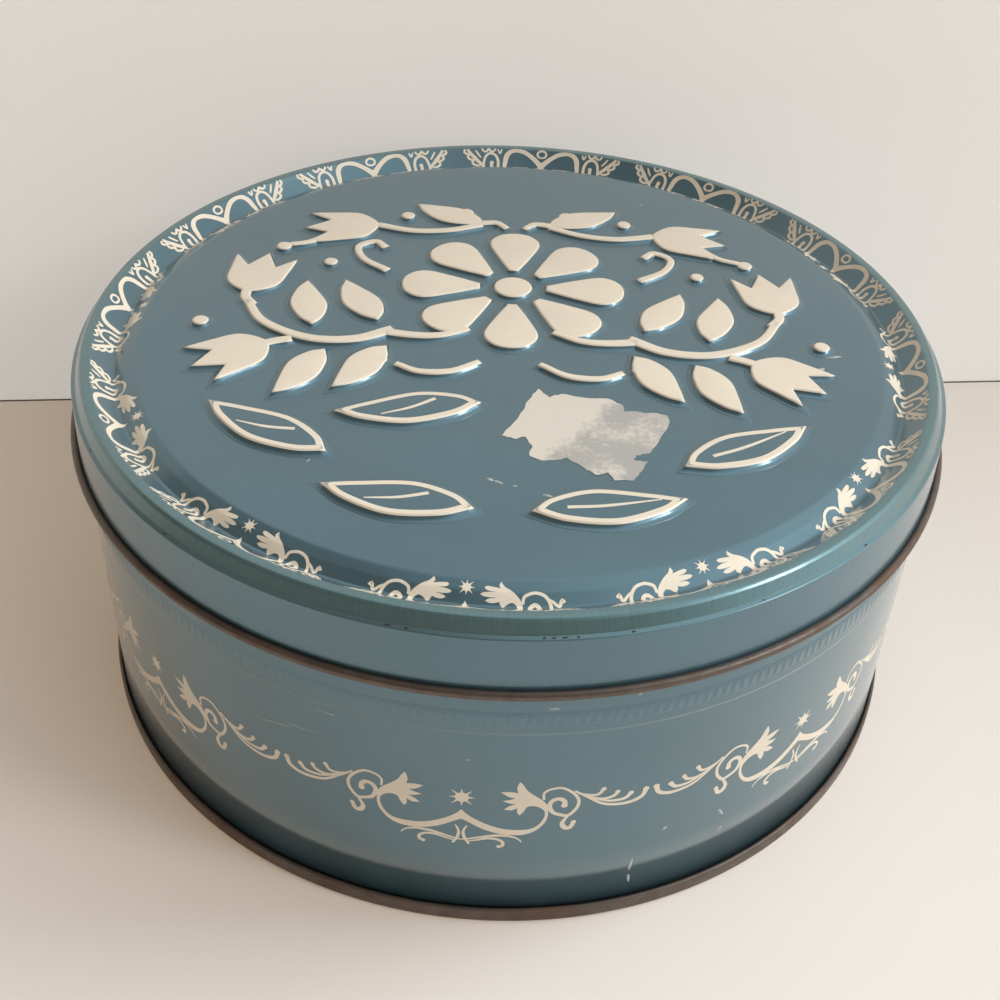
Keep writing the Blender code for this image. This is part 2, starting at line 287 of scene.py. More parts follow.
STAR_RAYS = (2.7, 3.05, 2.65, 3.05, 2.7, 3.05, 2.65, 3.05)
STAR_BODY = 1.35
# A stroke that ends wide ends in a dot, a little wider than itself
DOTTED_FROM_WIDTH = 0.75
DOT_SHARE = 0.62

# The lid's border, drawn flat in millimetres: across, and back towards the axis from its shoulder.
# It has the wall's motif with wider, lower tulips, and its upper swag runs up on the bank.
LID_SWAG_AND_TULIP = (
    (
        (0, -2.2), (1.1, -4.2), (2.9, -6.1), (4.9, -7.5), (6.9, -8), (8.2, -7.6),
        (9, -6.4), (9.4, -4.6), (9.7, -3.5), (9.6, -2.8), (9.2, -2.3), (8.7, -2.1),
        (8.1, -2.3), (7, -3.2),
    ),
    ((7, -3.2), (6.5, -2.6), (6.3, -2)),
    ((6.3, -2), (5.2, -2.3), (4.2, -2.2), (3.7, -1.9), (4.2, -1.5), (5.9, -1.2)),
    ((5.9, -1.2), (4.2, -1.2), (3.1, -1), (2.7, -0.7), (3.1, -0.4), (4.2, -0.2), (5.8, -0.1)),
    ((5.8, -0.1), (4.5, 0), (3.7, 0.3), (3.4, 0.7), (3.8, 1), (5, 0.9), (6.5, 0.6)),
    ((6.5, 0.6), (6.2, 1.2), (6.6, 2)),
    (
        (6.6, 2), (7.3, 1), (8.7, 0.1), (10, -1.2), (10.6, -2.4), (10.7, -3.3), (10.6, -4.9),
        (10.2, -7.1), (8.9, -8.6), (6.9, -9), (4.6, -8.7), (2.4, -7.3), (0, -5.2),
    ),
)
LID_STROKES = (
    (
        (
            (10.7, -2.4), (11, -1), (12.1, -0.4), (13.1, -0.2), (14.6, -0.6), (15.6, -1.7),
            (16, -3.2), (15.9, -4.8), (15.3, -6.7), (14.1, -7.6), (12.7, -7.1), (12, -5.7),
            (11.9, -4.3), (12.1, -3.1), (12.9, -2.5), (13.6, -2.9), (13.8, -3.8), (13.7, -4.8),
        ),
        (0.6, 0.7, 0.9),
    ),
    (((15.4, -1.4), (16.4, -2), (17.5, -3), (17.8, -2.3), (18.1, -1.6), (18.5, -2.2)), (0.5, 0.6, 0.7)),
    (((16.1, -3.9), (17.8, -5.6), (19.4, -7.6), (20.2, -8.8)), (0.8, 1.1, 0.7)),
    (((16.6, -4.2), (17.7, -3.9), (19, -4.6), (18.7, -5.8)), (0.4, 0.7, 0.7)),
    (((18, -5.9), (19.1, -5.6), (20.2, -6.4), (19.8, -7.5)), (0.4, 0.7, 0.7)),
    (((19.2, -7.5), (20.1, -7.3), (21.1, -8), (20.8, -8.8)), (0.4, 0.7, 0.6)),
    (
        ((12.6, -9), (13.1, -8.2), (13.9, -8.2), (14.4, -8.9), (15, -8.2), (15.8, -8.2), (16.3, -9)),
        (0.5, 0.7, 0.5),
    ),
    (((0, -6.7), (0.9, -7), (1.2, -7.8), (0.8, -8.5), (0, -8.8)), (0.6, 0.6, 0.6)),
    (((16.6, -6.3), (17.3, -7.3), (18, -8.5)), (0.4, 0.6, 0.4)),
    (((10.9, -8.8), (11.4, -7.6), (12, -8.8)), (0.4, 0.6, 0.4)),
)
LID_STAR_BACK = 0.45
LID_STAR_SHARE = 0.6

# Side profile of the raised work: how far out from the flat top, and how far down, in millimetres.
# The first rings still carry the cream.
SHOULDER = (
    (0.08, 0.01), (0.22, 0.07), (0.45, 0.30), (0.70, 0.66), (0.92, 0.86), (1.20, 0.99),
    (1.55, 1.07), (2.0, 1.13),
)
CREAM_RINGS = 3
# Spacing along a form's outline in millimetres, and the turn from which a corner stays sharp
FORM_STEP = 0.8
SHARP_TURN = 62

# The raised picture's forms, as shares of their length and half width, counterclockwise.
# A form with no negative share is mirrored about its length.
PETAL_SHARES = ((0.0, 0.22), (0.36, 0.68), (0.70, 1.0), (0.93, 0.66), (1.0, 0.0))
LEAF_SHARES = (
    (0.0, 0.0), (0.22, -0.62), (0.52, -0.86), (0.80, -0.42), (1.0, 0.30), (0.74, 0.66),
    (0.42, 0.98), (0.16, 0.66),
)
TULIP_SHARES = ((0.0, 0.24), (0.20, 0.80), (0.52, 0.92), (0.95, 1.0), (0.66, 0.42), (1.0, 0.0))
# Length and width of each form in millimetres
PETAL_SIZE = (20.0, 13.8)
LEAF_SIZE = (22.0, 10.5)
TULIP_SIZE = (20.0, 17.0)
LARGE_LEAF_SIZE = (34.0, 13.0)
PETALS = 8
PETAL_ROOT = 7.4
FLOWER_BACK = 18.0
BUTTON = 5.2
# Places on the right half, as shares of the picture's reach, and turns in degrees
LEAF_PLACE_SHARES = (
    (0.40, 0.00, 58), (0.60, -0.04, 76), (0.36, -0.12, -62), (0.54, -0.15, -66), (0.10, 0.65, 24),
)
TULIP_PLACE_SHARES = ((0.83, 0.15, 98), (0.72, -0.13, -36), (0.46, 0.62, -10))
LARGE_LEAF_PLACE_SHARES = ((0.47, -0.66, 28), (0.06, -0.87, 8))
LONE_LEAF_PLACE_SHARES = ((0.06, -0.40, -12),)
STEM_PATH_SHARES = ((0.36, -0.04), (0.47, -0.10), (0.61, -0.10), (0.75, -0.02), (0.82, 0.10))
STEM_WIDTHS = (4.2, 3.7, 3.2)
# Thin raised lines that only the finished tin carries: a path in millimetres, and its widths
SPRAYS = (
    (((10, -1.5), (16, -4.5), (22, -5), (29, -4)), (0.9, 1.5, 1.8)),
    (((2.5, 48), (5, 50.5), (9, 50)), (0.9, 1.2, 1.4)),
    (((9, 49), (17, 45.5), (26, 44.5), (35, 46.8)), (1.3, 1.3, 1.5)),
    (((61, 6), (63, 9), (63.2, 12)), (1.6, 1.6, 1.6)),
    (((50, -8.5), (53, -9.5), (56, -11)), (1.6, 1.6, 1.6)),
    (((31, 24), (37, 29), (39, 35), (35, 38), (32.5, 35.5)), (1.3, 1.0, 1.2)),
    (((46, 42.5), (51, 37), (56, 35)), (1.2, 1.0, 0.8)),
    (((7, -15), (13, -19), (20, -19.5), (25, -17)), (0.8, 1.2, 0.8)),
)
BERRIES = (
    (13, 55.5, 1.5), (28, 52.5, 1.4), (57.5, 34, 1.5), (45, 27, 1.3), (71.5, -2, 1.5),
    (29, -15.5, 1.4),
)

# Marks on the wall: turn in degrees, height, length, width and tilt in millimetres and degrees
WALL_CHIPS = (
    (-72.1, 14.0, 3.6, 0.7, 80), (-72.1, 9.5, 2.6, 0.6, 95), (-60.1, 22.5, 3.2, 0.8, 120),
    (-59.7, 16.6, 1.6, 0.7, 60), (-83.4, 65.7, 2.0, 0.5, 0), (-92.8, 50.8, 0.9, 0.5, 20),
    (-68.1, 23.9, 1.1, 0.9, 0), (-73.9, 67.3, 0.9, 0.5, 10), (-74.5, 60.4, 2.4, 0.5, 5),
    (-116.5, 47.6, 9.0, 0.22, 12), (-113.0, 49.3, 7.0, 0.16, 3), (-109.6, 56.5, 4.5, 0.25, -4),
    (-62.5, 60.6, 0.8, 0.5, 0), (-40.0, 30.0, 1.2, 0.4, 70), (-130.0, 18.0, 1.5, 0.4, 40),
    (20.0, 26.0, 2.2, 0.5, 65), (75.0, 48.0, 3.5, 0.3, 15), (140.0, 15.0, 2.0, 0.6, 100),
    (170.0, 55.0, 5.0, 0.2, -20), (108.0, 33.0, 1.0, 0.6, 30), (-5.0, 12.0, 1.8, 0.5, 80),
)
# Marks on the lid's field: across, back, length, width, tilt
LID_CHIPS = (
    (-2.9, -55.7, 1.6, 0.9, -20), (-1.2, -56.4, 2.2, 0.6, -25), (2.1, -57.4, 1.0, 0.4, -10),
    (8.6, -60.0, 2.4, 0.7, -18), (10.6, -60.9, 1.0, 0.5, -30), (69.8, -10.3, 3.4, 0.9, 25),
    (74.0, -4.6, 3.8, 0.8, 14), (-40.0, -52.0, 1.4, 0.3, 60), (33.0, 66.0, 1.2, 0.4, 10),
)
# Torn outline of the paper label: across and back on the lid, in millimetres
LABEL_CORNERS = (
    (6.5, -23.4), (4.5, -28), (2.5, -34), (-1, -41), (1.5, -41.8), (4, -41), (5.3, -44),
    (5, -47.5), (8, -49), (12.4, -47.6), (16.7, -51.3), (18.9, -53), (21.1, -51.8),
    (22.3, -54.3), (26.1, -54), (27.5, -51.5), (29.2, -47.8), (26.4, -47.3), (27, -45.6),
    (30.2, -44.4), (34.6, -33.5), (34.2, -31), (28, -30.2), (25.2, -30.3), (24.8, -28),
    (22, -26), (17.2, -26), (11.4, -25), (9, -26.4),
)
# Dark specks where the lacquer has cracked along the ledge of the lid: turn, length
LEDGE_SPECKS = (
    (-101.6, 1.4), (-99.6, 0.9), (-85.1, 0.7), (-84.1, 0.9), (-82.9, 1.2), (-81.5, 0.6),
    (-75.6, 0.8), (-60.2, 0.5), (-44.0, 1.1), (22.0, 0.9), (71.0, 1.2), (118.0, 1.1),
    (163.0, 1.3), (-150.0, 1.0), (-131.0, 0.8),
)
# Spacing along the borders' outlines, and how far down and up the lid's border is cut to bend,
# in millimetres
BORDER_STEP = 0.6
LID_BORDER_STEP = 0.45
LID_BORDER_LOW = -11
LID_BORDER_HIGH = 4
# Lines on the leaves whose tops stay blue: their widths, and where along a leaf its vein runs
LEAF_LINE_WIDTHS = (1.1, 1.1, 1.1)
LEAF_LINE_INSET = 0.5
VEIN_WIDTHS = (0.9, 0.8, 0.3)
VEIN_SHARES = (0.24, 0.80)
# Height of the stems and sprays as a share of the forms', and corners of a round form
STROKE_HEIGHT_SHARE = 0.98
ROUND_CORNERS = 12
# Where the lacquer is off, and where it has rusted along the ledge
PALE_CHIP_COLOUR = tone(196, 200, 194)
SPECK_COLOUR = tone(70, 52, 44)

# The stage: turns in degrees, places and sizes in metres
STAGE_HALF_WIDTH = 1.5
TABLE_DROP = 0.0001
BACK_WALL_TURN = 6.4
BACK_WALL_LEAN = -1.1
BACK_WALL_BACK = 0.1003
BACK_WALL_HALF_HEIGHT = 0.15
# A dark strip along the foot of the back wall: painted shade where the table meets the wall.
CREASE_SHADE_PROUD = 0.0002
CREASE_SHADE_HALF_HEIGHT = 0.00045
CREASE_SHADE_COLOUR = tone(132, 118, 104)
# How much paler than lit the table and the wall are seen, as shares of their own colours
TABLE_PALE_SHARES = (0.24, 0.18, 0.12)
BACK_WALL_PALE_SHARES = (0.56, 0.56, 0.56)
# The room's light from the far side to the near side of one direction, and a bright pane in it
ROOM_TOWARDS = (0.80, 0.36, 0.48)
ROOM_STOPS = (
    (0, (0.21, 0.162, 0.122)),
    (0.45, (0.25, 0.197, 0.153)),
    (0.66, (0.27, 0.217, 0.173)),
    (0.79, (0.88, 0.93, 0.97)),
    (0.93, (1.18, 1.23, 1.26)),
    (1, (1.2, 1.25, 1.28)),
)
PANE_TOWARDS = (0.81, -0.26, 0.53)
PANE_EDGES = (0.991, 0.997)
PANE_BRIGHTNESS = 14
# The lamp, and the place that it is turned to
WINDOW_SIZE = (1.5, 1.15)
WINDOW_ENERGY = 51
WINDOW_COLOUR = (0.88, 0.95, 1.0)
WINDOW_PLACE = (2.3, 0.68, 1.75)
WINDOW_AIM = (0, 0, 0.05)
# The camera as fitted to the photo: its place, and its turns about axes of its own, in order
CAMERA_LENS = 51.05
CAMERA_PLACE = (0, -0.27944, 0.26262)
CAMERA_TURNS = (("Z", 0.181), ("X", 50.97), ("Z", 2.427))


def rounded_line(corners, count=5):
    """A section's line in which each corner (radius, height, rounding) becomes a short curve."""
    line = [Vector(corners[0][:2])]
    for before, corner, after in zip(corners, corners[1:], corners[2:]):
        here = Vector(corner[:2])
        back = Vector(before[:2]) - here
        ahead = Vector(after[:2]) - here
        reach = corner[2] / math.tan(back.angle(ahead) / 2)
        reach = min(reach, back.length * 0.49, ahead.length * 0.49)
        start = here + back.normalized() * reach
        end = here + ahead.normalized() * reach
        for step in range(count):
            share = step / (count - 1)
            first = start.lerp(here, share)
            line.append(first.lerp(here.lerp(end, share), share))
    line.append(Vector(corners[-1][:2]))
    return line


def arc(centre, radii, start, end, count):
    """Points of an elliptical arc in the plane of a section, angles in degrees."""
    points = []
    for step in range(count):
        angle = math.radians(start + (end - start) * step / (count - 1))
        across = radii[0] * math.cos(angle)
        points.append(Vector((centre[0] + across, centre[1] + radii[1] * math.sin(angle))))
    return points


def curve_point(before, start, end, after, t):
    """A point between start and end on a Catmull-Rom curve."""
    bend = start * 2 + (end - before) * t
    bend += (before * 2 - start * 5 + end * 4 - after) * t**2
    bend += (start * 3 - before - end * 3 + after) * t**3
    return bend / 2


def smooth_path(points, spacing):
    """A Catmull-Rom curve through the points, in steps of about the spacing."""
    knots = [Vector(point[:2]) for point in points]
    knots = [knots[0] * 2 - knots[1]] + knots + [knots[-1] * 2 - knots[-2]]
    path = [knots[1]]
    for before, start, end, after in zip(knots, knots[1:], knots[2:], knots[3:]):
        count = max(1, round((end - start).length / spacing))
        for step in range(1, count + 1):
            path.append(curve_point(before, start, end, after, step / count))
    return path


def smooth_loop(points, spacing, sharp_degrees):
    """A closed Catmull-Rom curve that keeps the corners that turn by more than an angle."""
    count = len(points)
    sharp = []
    for index, point in enumerate(points):
        turn = (point - points[index - 1]).angle(points[(index + 1) % count] - point)
        sharp.append(math.degrees(turn) > sharp_degrees)
    path = []
    for index, start in enumerate(points):
        end = points[(index + 1) % count]
        before = start * 2 - end if sharp[index] else points[index - 1]
        after = end * 2 - start if sharp[(index + 1) % count] else points[(index + 2) % count]
        steps = max(1, round((end - start).length / spacing))
        for step in range(steps):
            path.append(curve_point(before, start, end, after, step / steps))
    return path


def inset_loop(points, distance):
    """The corners of a counterclockwise outline, each side moved in by a distance."""
    moved = []
    for index, point in enumerate(points):
        along = (point - points[index - 1]).normalized()
        ahead = (points[(index + 1) % len(points)] - point).normalized()
        first = Vector((-along.y, along.x))
        second = Vector((-ahead.y, ahead.x))
        moved.append(point + (first + second) * distance / (1 + first.dot(second)))
    return moved


def all_parts(shape):
    """The vertices, edges and faces of a shape."""
    return shape.verts[:] + shape.edges[:] + shape.faces[:]


def only(parts, kind):
    """The parts of one kind."""
    return [part for part in parts if isinstance(part, kind)]


def face_up(shape):
    """Turns the faces of a flat shape that look down."""
    for face in shape.faces:
        face.normal_update()
        if face.normal.z < 0:
            face.normal_flip()


def turn_line(line, steps):
    """A sheet with no thickness: the section's line turned a full circle about Z, part by part."""
    sheet = bmesh.new()
    verts = [sheet.verts.new((point.x, 0, point.y)) for point in line]
    for start, end in zip(verts, verts[1:]):
        sheet.edges.new((start, end))
    bmesh.ops.spin(
        sheet,
        geom=sheet.verts[:] + sheet.edges[:],
        cent=(0, 0, 0),
        axis=(0, 0, 1),
        dvec=(0, 0, 0),
        angle=math.tau / TURN_PARTS,
        steps=steps // TURN_PARTS,
        use_merge=False,
        use_duplicate=False,
    )
    repeat_round(sheet, TURN_PARTS)
    bmesh.ops.remove_doubles(sheet, verts=sheet.verts, dist=1e-6)
    bmesh.ops.recalc_face_normals(sheet, faces=sheet.faces)
    highest = max(sheet.faces, key=lambda face: face.calc_center_median().z)
    if highest.normal.z < 0:
        bmesh.ops.reverse_faces(sheet, faces=sheet.faces)
    return sheet


def add_object(name, shape, materials):
    """An object at the origin, made from a shape that is then freed."""
    mesh = bpy.data.meshes.new(name)
    shape.to_mesh(mesh)
    shape.free()
    for material in materials:
        mesh.materials.append(material)
    made = bpy.data.objects.new(name, mesh)
    bpy.context.scene.collection.objects.link(made)
    return made


def finish_piece(name, shape, materials, body, slot, replaced=(), film=False):
    """A smooth-shaded piece that rides on a body. A film keeps its cut edges sharp."""
    piece = add_object(name, shape, materials)
    for face in piece.data.polygons:
        face.use_smooth = True
    if film:
        piece.data.set_sharp_from_angle(angle=math.radians(40))
    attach(piece, body)
    if replaced:
        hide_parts(*replaced)
    return piece


def give_gauge(piece, thickness):
    """Thickens a turned sheet both ways. The inner side takes the next material along."""
    gauge = piece.modifiers.new("gauge", "SOLIDIFY")
    gauge.thickness = thickness
    gauge.offset = 0
    gauge.use_even_offset = True
    gauge.material_offset = 1


class SheetLine:
    """The outside of a sheet's section, which print and labels are laid along."""

    def __init__(self, line, half_sheet):
        self.points = []
        self.normals = []
        for index, point in enumerate(line):
            ahead = line[min(index + 1, len(line) - 1)] - line[max(index - 1, 0)]
            normal = Vector((-ahead.y, ahead.x)).normalized()
            self.points.append(point + normal * half_sheet)
            self.normals.append(normal)
        self.marks = [0]
        for start, end in zip(self.points, self.points[1:]):
            self.marks.append(self.marks[-1] + (end - start).length)

    def at(self, distance):
        """The point and outward direction at a distance along the line."""
        index = bisect.bisect_right(self.marks, distance) - 1
        index = min(max(index, 0), len(self.marks) - 2)
        span = self.marks[index + 1] - self.marks[index]
        share = (distance - self.marks[index]) / span
        point = self.points[index].lerp(self.points[index + 1], share)
        normal = self.normals[index].lerp(self.normals[index + 1], share)
        return point, normal.normalized()

    def distance_at_radius(self, radius):
        """The distance along the line at which it first crosses a radius, counted from the axis."""
        for index in range(len(self.points) - 1):
            start = self.points[index].x
            end = self.points[index + 1].x
            if min(start, end) <= radius <= max(start, end) and start != end:
                share = (radius - start) / (end - start)
                return self.marks[index] + share * (self.marks[index + 1] - self.marks[index])
        raise ValueError("the sheet never reaches that radius")


def lid_line(sizes):
    """Middle of the lid's sheet: field, slope, gutter, bank, crest, rim, ledge, skirt and hem."""
    half = sizes.sheet / 2
    top = sizes.lid_top - half
    edge = top - 0.0014
    corners = []
    for ring in range(DOME_RINGS):
        share = ring / DOME_RINGS
        corners.append((FIELD_RADIUS * share, edge + DOME_HEIGHT * (1 - share * share), 0.02))
    corners += [
        (FIELD_RADIUS, edge, 0.0030),
        (0.08743, top - 0.00225, 0.0025),
        (0.08963, top - 0.00375, 0.0006),
        (0.09033, top - 0.00375, 0.0006),
        (0.09383, top - 0.0008, 0.0008),
        (0.09463, top, 0.0008),
        (0.09643, top, 0.0005),
        (0.09693, top - 0.0005, 0.0005),
        (0.09803, 0.08443, 0.00018),
        (0.09888, 0.08408, 0.00030),
        (SKIRT_RADIUS, 0.0730, 0.0010),
    ]
    depth = (sizes.hem_radius - half - SKIRT_RADIUS) / 2
    lift = sizes.hem_height / 2
    centre = (SKIRT_RADIUS + depth, sizes.hem_bottom + lift)
    return rounded_line(corners)[:-1] + arc(centre, (depth, lift - half), 180, 506, 22)


def wall_line(sizes):
    """Middle of the wall's sheet from inside the base seam up to the folded mouth."""
    line = sizes.wall_radius - sizes.sheet / 2
    top = sizes.mouth_height - sizes.sheet / 2
    fold = 0.00035
    proud = line + 0.00020
    points = rounded_line([
        (line, 0.0008, 0),
        (line, 0.0200, 0),
        (line, sizes.bead_bottom, 0.0012),
        (proud, sizes.bead_bottom + 0.0007, 0.0008),
        (proud, sizes.knurl_top, 0.0008),
        (line, sizes.knurl_top + 0.0006, 0.0012),
        (line, 0.0750, 0),
        (line, top - fold, 0),
    ])
    points += arc((line - fold, top - fold), (fold, fold), 10, 180, 8)
    points.append(Vector((line - 2 * fold, top - sizes.mouth_fold)))
    return points


def base_line(sizes):
    """Middle of the base sheet: recessed panel, chuck wall and the double seam's outside."""
    half = sizes.sheet / 2
    panel = sizes.panel_recess + half
    step = panel - 0.0006
    chuck = sizes.wall_radius - half - sizes.sheet - SEAM_PLAY
    outer = sizes.seam_radius - half
    lap = sizes.wall_radius + half + SEAM_PLAY
    top = sizes.seam_height - half
    return rounded_line([
        (0, panel, 0),
        (0.0350, panel, 0),
        (0.0690, panel, 0.0008),
        (0.0705, step, 0.0008),
        (0.0775, step, 0.0008),
        (0.0790, panel, 0.0008),
        (chuck, panel, 0.0007),
        (chuck, half, 0.0004),
        (outer, half, 0.0005),
        (outer, top, 0.0006),
        (lap, top, 0.0004),
        (lap, 0.0012, 0),
    ])


def add_node(tree, kind, **settings):
    """A shader node with its plain settings given by name."""
    made = tree.nodes.new(kind)
    for name, value in settings.items():
        setattr(made, name, value)
    return made


def fill_input(socket, value):
    """Links an output into a socket, or sets the socket's own value."""
    if isinstance(value, bpy.types.NodeSocket):
        socket.id_data.links.new(value, socket)
    elif socket.type == "RGBA":
        socket.default_value = (*value, 1)
    else:
        socket.default_value = value


def set_inputs(node, **values):
    """Fills a node's sockets by name, with an underscore for each space."""
    for name, value in values.items():
        fill_input(node.inputs[name.replace("_", " ")], value)
    return node


def new_group(name, inputs, outputs):
    """An empty shader node group of named values, and its two end nodes."""
    group = bpy.data.node_groups.new(name, "ShaderNodeTree")
    kind = "NodeSocketFloat"
    for socket, value in inputs.items():
        made = group.interface.new_socket(name=socket, in_out="INPUT", socket_type=kind)
        made.default_value = value
    for socket in outputs:
        group.interface.new_socket(name=socket, in_out="OUTPUT", socket_type=kind)
    return group, group.nodes.new("NodeGroupInput"), group.nodes.new("NodeGroupOutput")


def add_noise(tree, place, **values):
    """The value of a noise texture."""
    return set_inputs(tree.nodes.new("ShaderNodeTexNoise"), Vector=place, **values).outputs["Fac"]


def object_place(tree):
    """Object coordinates whole, and apart as X, Y and Z."""
    place = tree.nodes.new("ShaderNodeTexCoord").outputs["Object"]
    return place, set_inputs(tree.nodes.new("ShaderNodeSeparateXYZ"), Vector=place).outputs


def join_place(tree, x, y):
    """A vector of two values, with no Z."""
    return set_inputs(tree.nodes.new("ShaderNodeCombineXYZ"), X=x, Y=y).outputs[0]


def map_value(tree, source, low, high, to_low, to_high):
    """Maps one value onto another range, without going past its ends."""
    node = tree.nodes.new("ShaderNodeMapRange")
    set_inputs(node, Value=source, From_Min=low, From_Max=high, To_Min=to_low, To_Max=to_high)
    return node.outputs["Result"]


def combine(tree, operation, first, second):
    """A maths node of two values, each an output or a number."""
    node = add_node(tree, "ShaderNodeMath", operation=operation)
    fill_input(node.inputs[0], first)
    fill_input(node.inputs[1], second)
    return node.outputs[0]


def mix(tree, share, first, second, kind="RGBA"):
    """A colour between two others, or a value where the kind is FLOAT."""
    node = add_node(tree, "ShaderNodeMix", data_type=kind)
    inputs, output = ((0, 6, 7), 2) if kind == "RGBA" else ((0, 2, 3), 0)
    for index, value in zip(inputs, (share, first, second)):
        fill_input(node.inputs[index], value)
    return node.outputs[output]


def make_mottle_group():
    """Soft patches and fine grain as one value about 0.5, from Object coordinates."""
    scales = {"Patch Scale": 20.0, "Grain Scale": 1800.0, "Grain": 0.3}
    group, start, end = new_group("mottle", scales, ["Value"])
    place = object_place(group)[0]
    given = start.outputs
    patches = add_noise(group, place, Scale=given["Patch Scale"], Detail=4.0, Roughness=0.55)
    grain = add_noise(group, place, Scale=given["Grain Scale"], Detail=1.0)
    set_inputs(end, Value=mix(group, given["Grain"], patches, grain, "FLOAT"))


def make_turned_group():
    """Height, radius and fine streaks that run across the turned form."""
    outputs = ("Height", "Radius", "Streaks")
    group, start, end = new_group("turned_place", {"Streak Scale": 220.0}, outputs)
    x, y, z = object_place(group)[1]
    length = add_node(group, "ShaderNodeVectorMath", operation="LENGTH")
    set_inputs(length, Vector=join_place(group, x, y))
    angle = combine(group, "ARCTAN2", y, x)
    across = combine(group, "MULTIPLY", angle, start.outputs["Streak Scale"])
    spread = join_place(group, across, combine(group, "MULTIPLY", z, STREAK_STEEPNESS))
    streaks = add_noise(group, spread, Scale=1.0, Detail=3.0)
    set_inputs(end, Height=z, Radius=length.outputs["Value"], Streaks=streaks)


def place_group(tree, name, **values):
    """The outputs of a named node group in a material, with its own values."""
    node = add_node(tree, "ShaderNodeGroup", node_tree=bpy.data.node_groups[name])
    return set_inputs(node, **values).outputs


def add_mottle(tree, patches, grains, grain):
    """The mottle at its own scales, and with its own share of grain."""
    return place_group(tree, "mottle", Patch_Scale=patches, Grain_Scale=grains, Grain=grain)[0]


def spread_mottle(tree, mottle, low, high):
    """The mottle, stretched onto a range."""
    return map_value(tree, mottle, 0.3, 0.7, low, high)


def shade(tree, mottle, colour, dark, light):
    """A colour that the mottle takes between two shares of itself, up to full white."""
    ends = [tuple(min(1, part * share) for part in colour) for share in (dark, light)]
    return mix(tree, spread_mottle(tree, mottle, 0, 1), *ends)


def start_material(name):
    """A new material, its tree and its Principled shader."""
    material = bpy.data.materials.new(name)
    material.use_nodes = True
    tree = material.node_tree
    return material, tree, tree.nodes["Principled BSDF"]


def add_bump(tree, shader, height, strength, distance):
    """Feeds a height into the shader's normal."""
    bump = tree.nodes.new("ShaderNodeBump")
    set_inputs(bump, Strength=strength, Distance=distance, Height=height)
    set_inputs(shader, Normal=bump.outputs[0])


def make_mottled(name, colour, shades, scales, roughness, bump, **values):
    """A material whose colour, roughness and height all follow one mottle."""
    material, tree, shader = start_material(name)
    mottle = add_mottle(tree, *scales)
    set_inputs(
        shader,
        Base_Color=shade(tree, mottle, colour, *shades),
        Roughness=spread_mottle(tree, mottle, *roughness),
        **values,
    )
    add_bump(tree, shader, mottle, *bump)
    return material


def make_lacquer(finish):
    """Satin blue lacquer over tinplate, streaked on the rim with a lighter, greener tint that is partly
    painted reflection, and dulled with age.
    """
    material, tree, shader = start_material("blue_lacquer")
    mottle = add_mottle(tree, 26.0, 2600.0, 0.35)
    turned = place_group(tree, "turned_place", Streak_Scale=260.0)
    # The rim band takes a share of a lighter, greener colour: real streaks, and a painted reflection of
    # the rim's shine.
    on_rim = map_value(tree, turned["Height"], 0.0836, 0.0848, 0, 1)
    outside = map_value(tree, turned["Radius"], 0.0930, 0.0955, 0, 1)
    streaks = map_value(tree, turned["Streaks"], 0.35, 0.7, 0.3, 0.7)
    rim = combine(tree, "MULTIPLY", combine(tree, "MULTIPLY", on_rim, outside), streaks)
    shades = shade(tree, mottle, finish.lacquer, 0.9, 1.1)
    set_inputs(
        shader,
        Base_Color=mix(tree, rim, shades, finish.rim_streaks_and_sheen),
        Roughness=spread_mottle(tree, mottle, finish.roughness - 0.05, finish.roughness + 0.06),
        Metallic=finish.metallic,
        Coat_Weight=1.0,
        Coat_Roughness=0.14,
    )
    add_bump(tree, shader, mottle, 0.12, 0.00004)
    return material


def make_print(finish):
    """Cream litho ink under the same varnish, a little worn."""
    look = ((0.93, 1.04), (60.0, 3000.0, 0.4), (0.36, 0.48), (0.15, 0.00004))
    varnish = {"Metallic": 0.12, "Coat_Weight": 0.2, "Coat_Roughness": 0.2}
    return make_mottled("cream_print", finish.cream, *look, **varnish)


def make_steel(finish):
    """Bare folded steel, browned, with rust in patches."""
    material, tree, shader = start_material("browned_steel")
    fine = add_mottle(tree, 240.0, 2400.0, 0.4)
    rusty = map_value(tree, add_mottle(tree, 38.0, 500.0, 0.3), 0.50, 0.70, 0, 0.8)
    shades = shade(tree, fine, finish.steel, 0.72, 1.25)
    set_inputs(
        shader,
        Base_Color=mix(tree, rusty, shades, finish.rust),
        Roughness=map_value(tree, rusty, 0, 1, 0.4, 0.75),
        Metallic=map_value(tree, rusty, 0, 1, 0.7, 0.15),
        Specular_IOR_Level=0.3,
    )
    add_bump(tree, shader, fine, 0.3, 0.00008)
    return material


def make_inside(finish):
    """Plain tinplate inside, with a faint bloom."""
    look = ((0.86, 1.06), (45.0, 1500.0, 0.3), (0.24, 0.42), (0.2, 0.00006))
    return make_mottled("plain_tinplate", finish.inside, *look, Metallic=0.92)


def make_paper(finish):
    """A torn paper label, clean near its back left corner and rubbed grey elsewhere."""
    material, tree, shader = start_material("label_paper")
    x, y = object_place(tree)[1][:2]
    along = combine(tree, "SUBTRACT", x, combine(tree, "MULTIPLY", y, 0.8))
    end = map_value(tree, along, 0.036, 0.048, -0.35, 0.12)
    rubbed = combine(tree, "ADD", add_mottle(tree, 120.0, 900.0, 0.25), end)
    share = map_value(tree, rubbed, 0.42, 0.62, 0, 1)
    set_inputs(
        shader,
        Base_Color=mix(tree, share, finish.paper, finish.paper_rubbed),
        Roughness=0.85,
        Specular_IOR_Level=0.3,
    )
    add_bump(tree, shader, add_mottle(tree, 900.0, 3600.0, 0.5), 0.6, 0.00012)
    return material


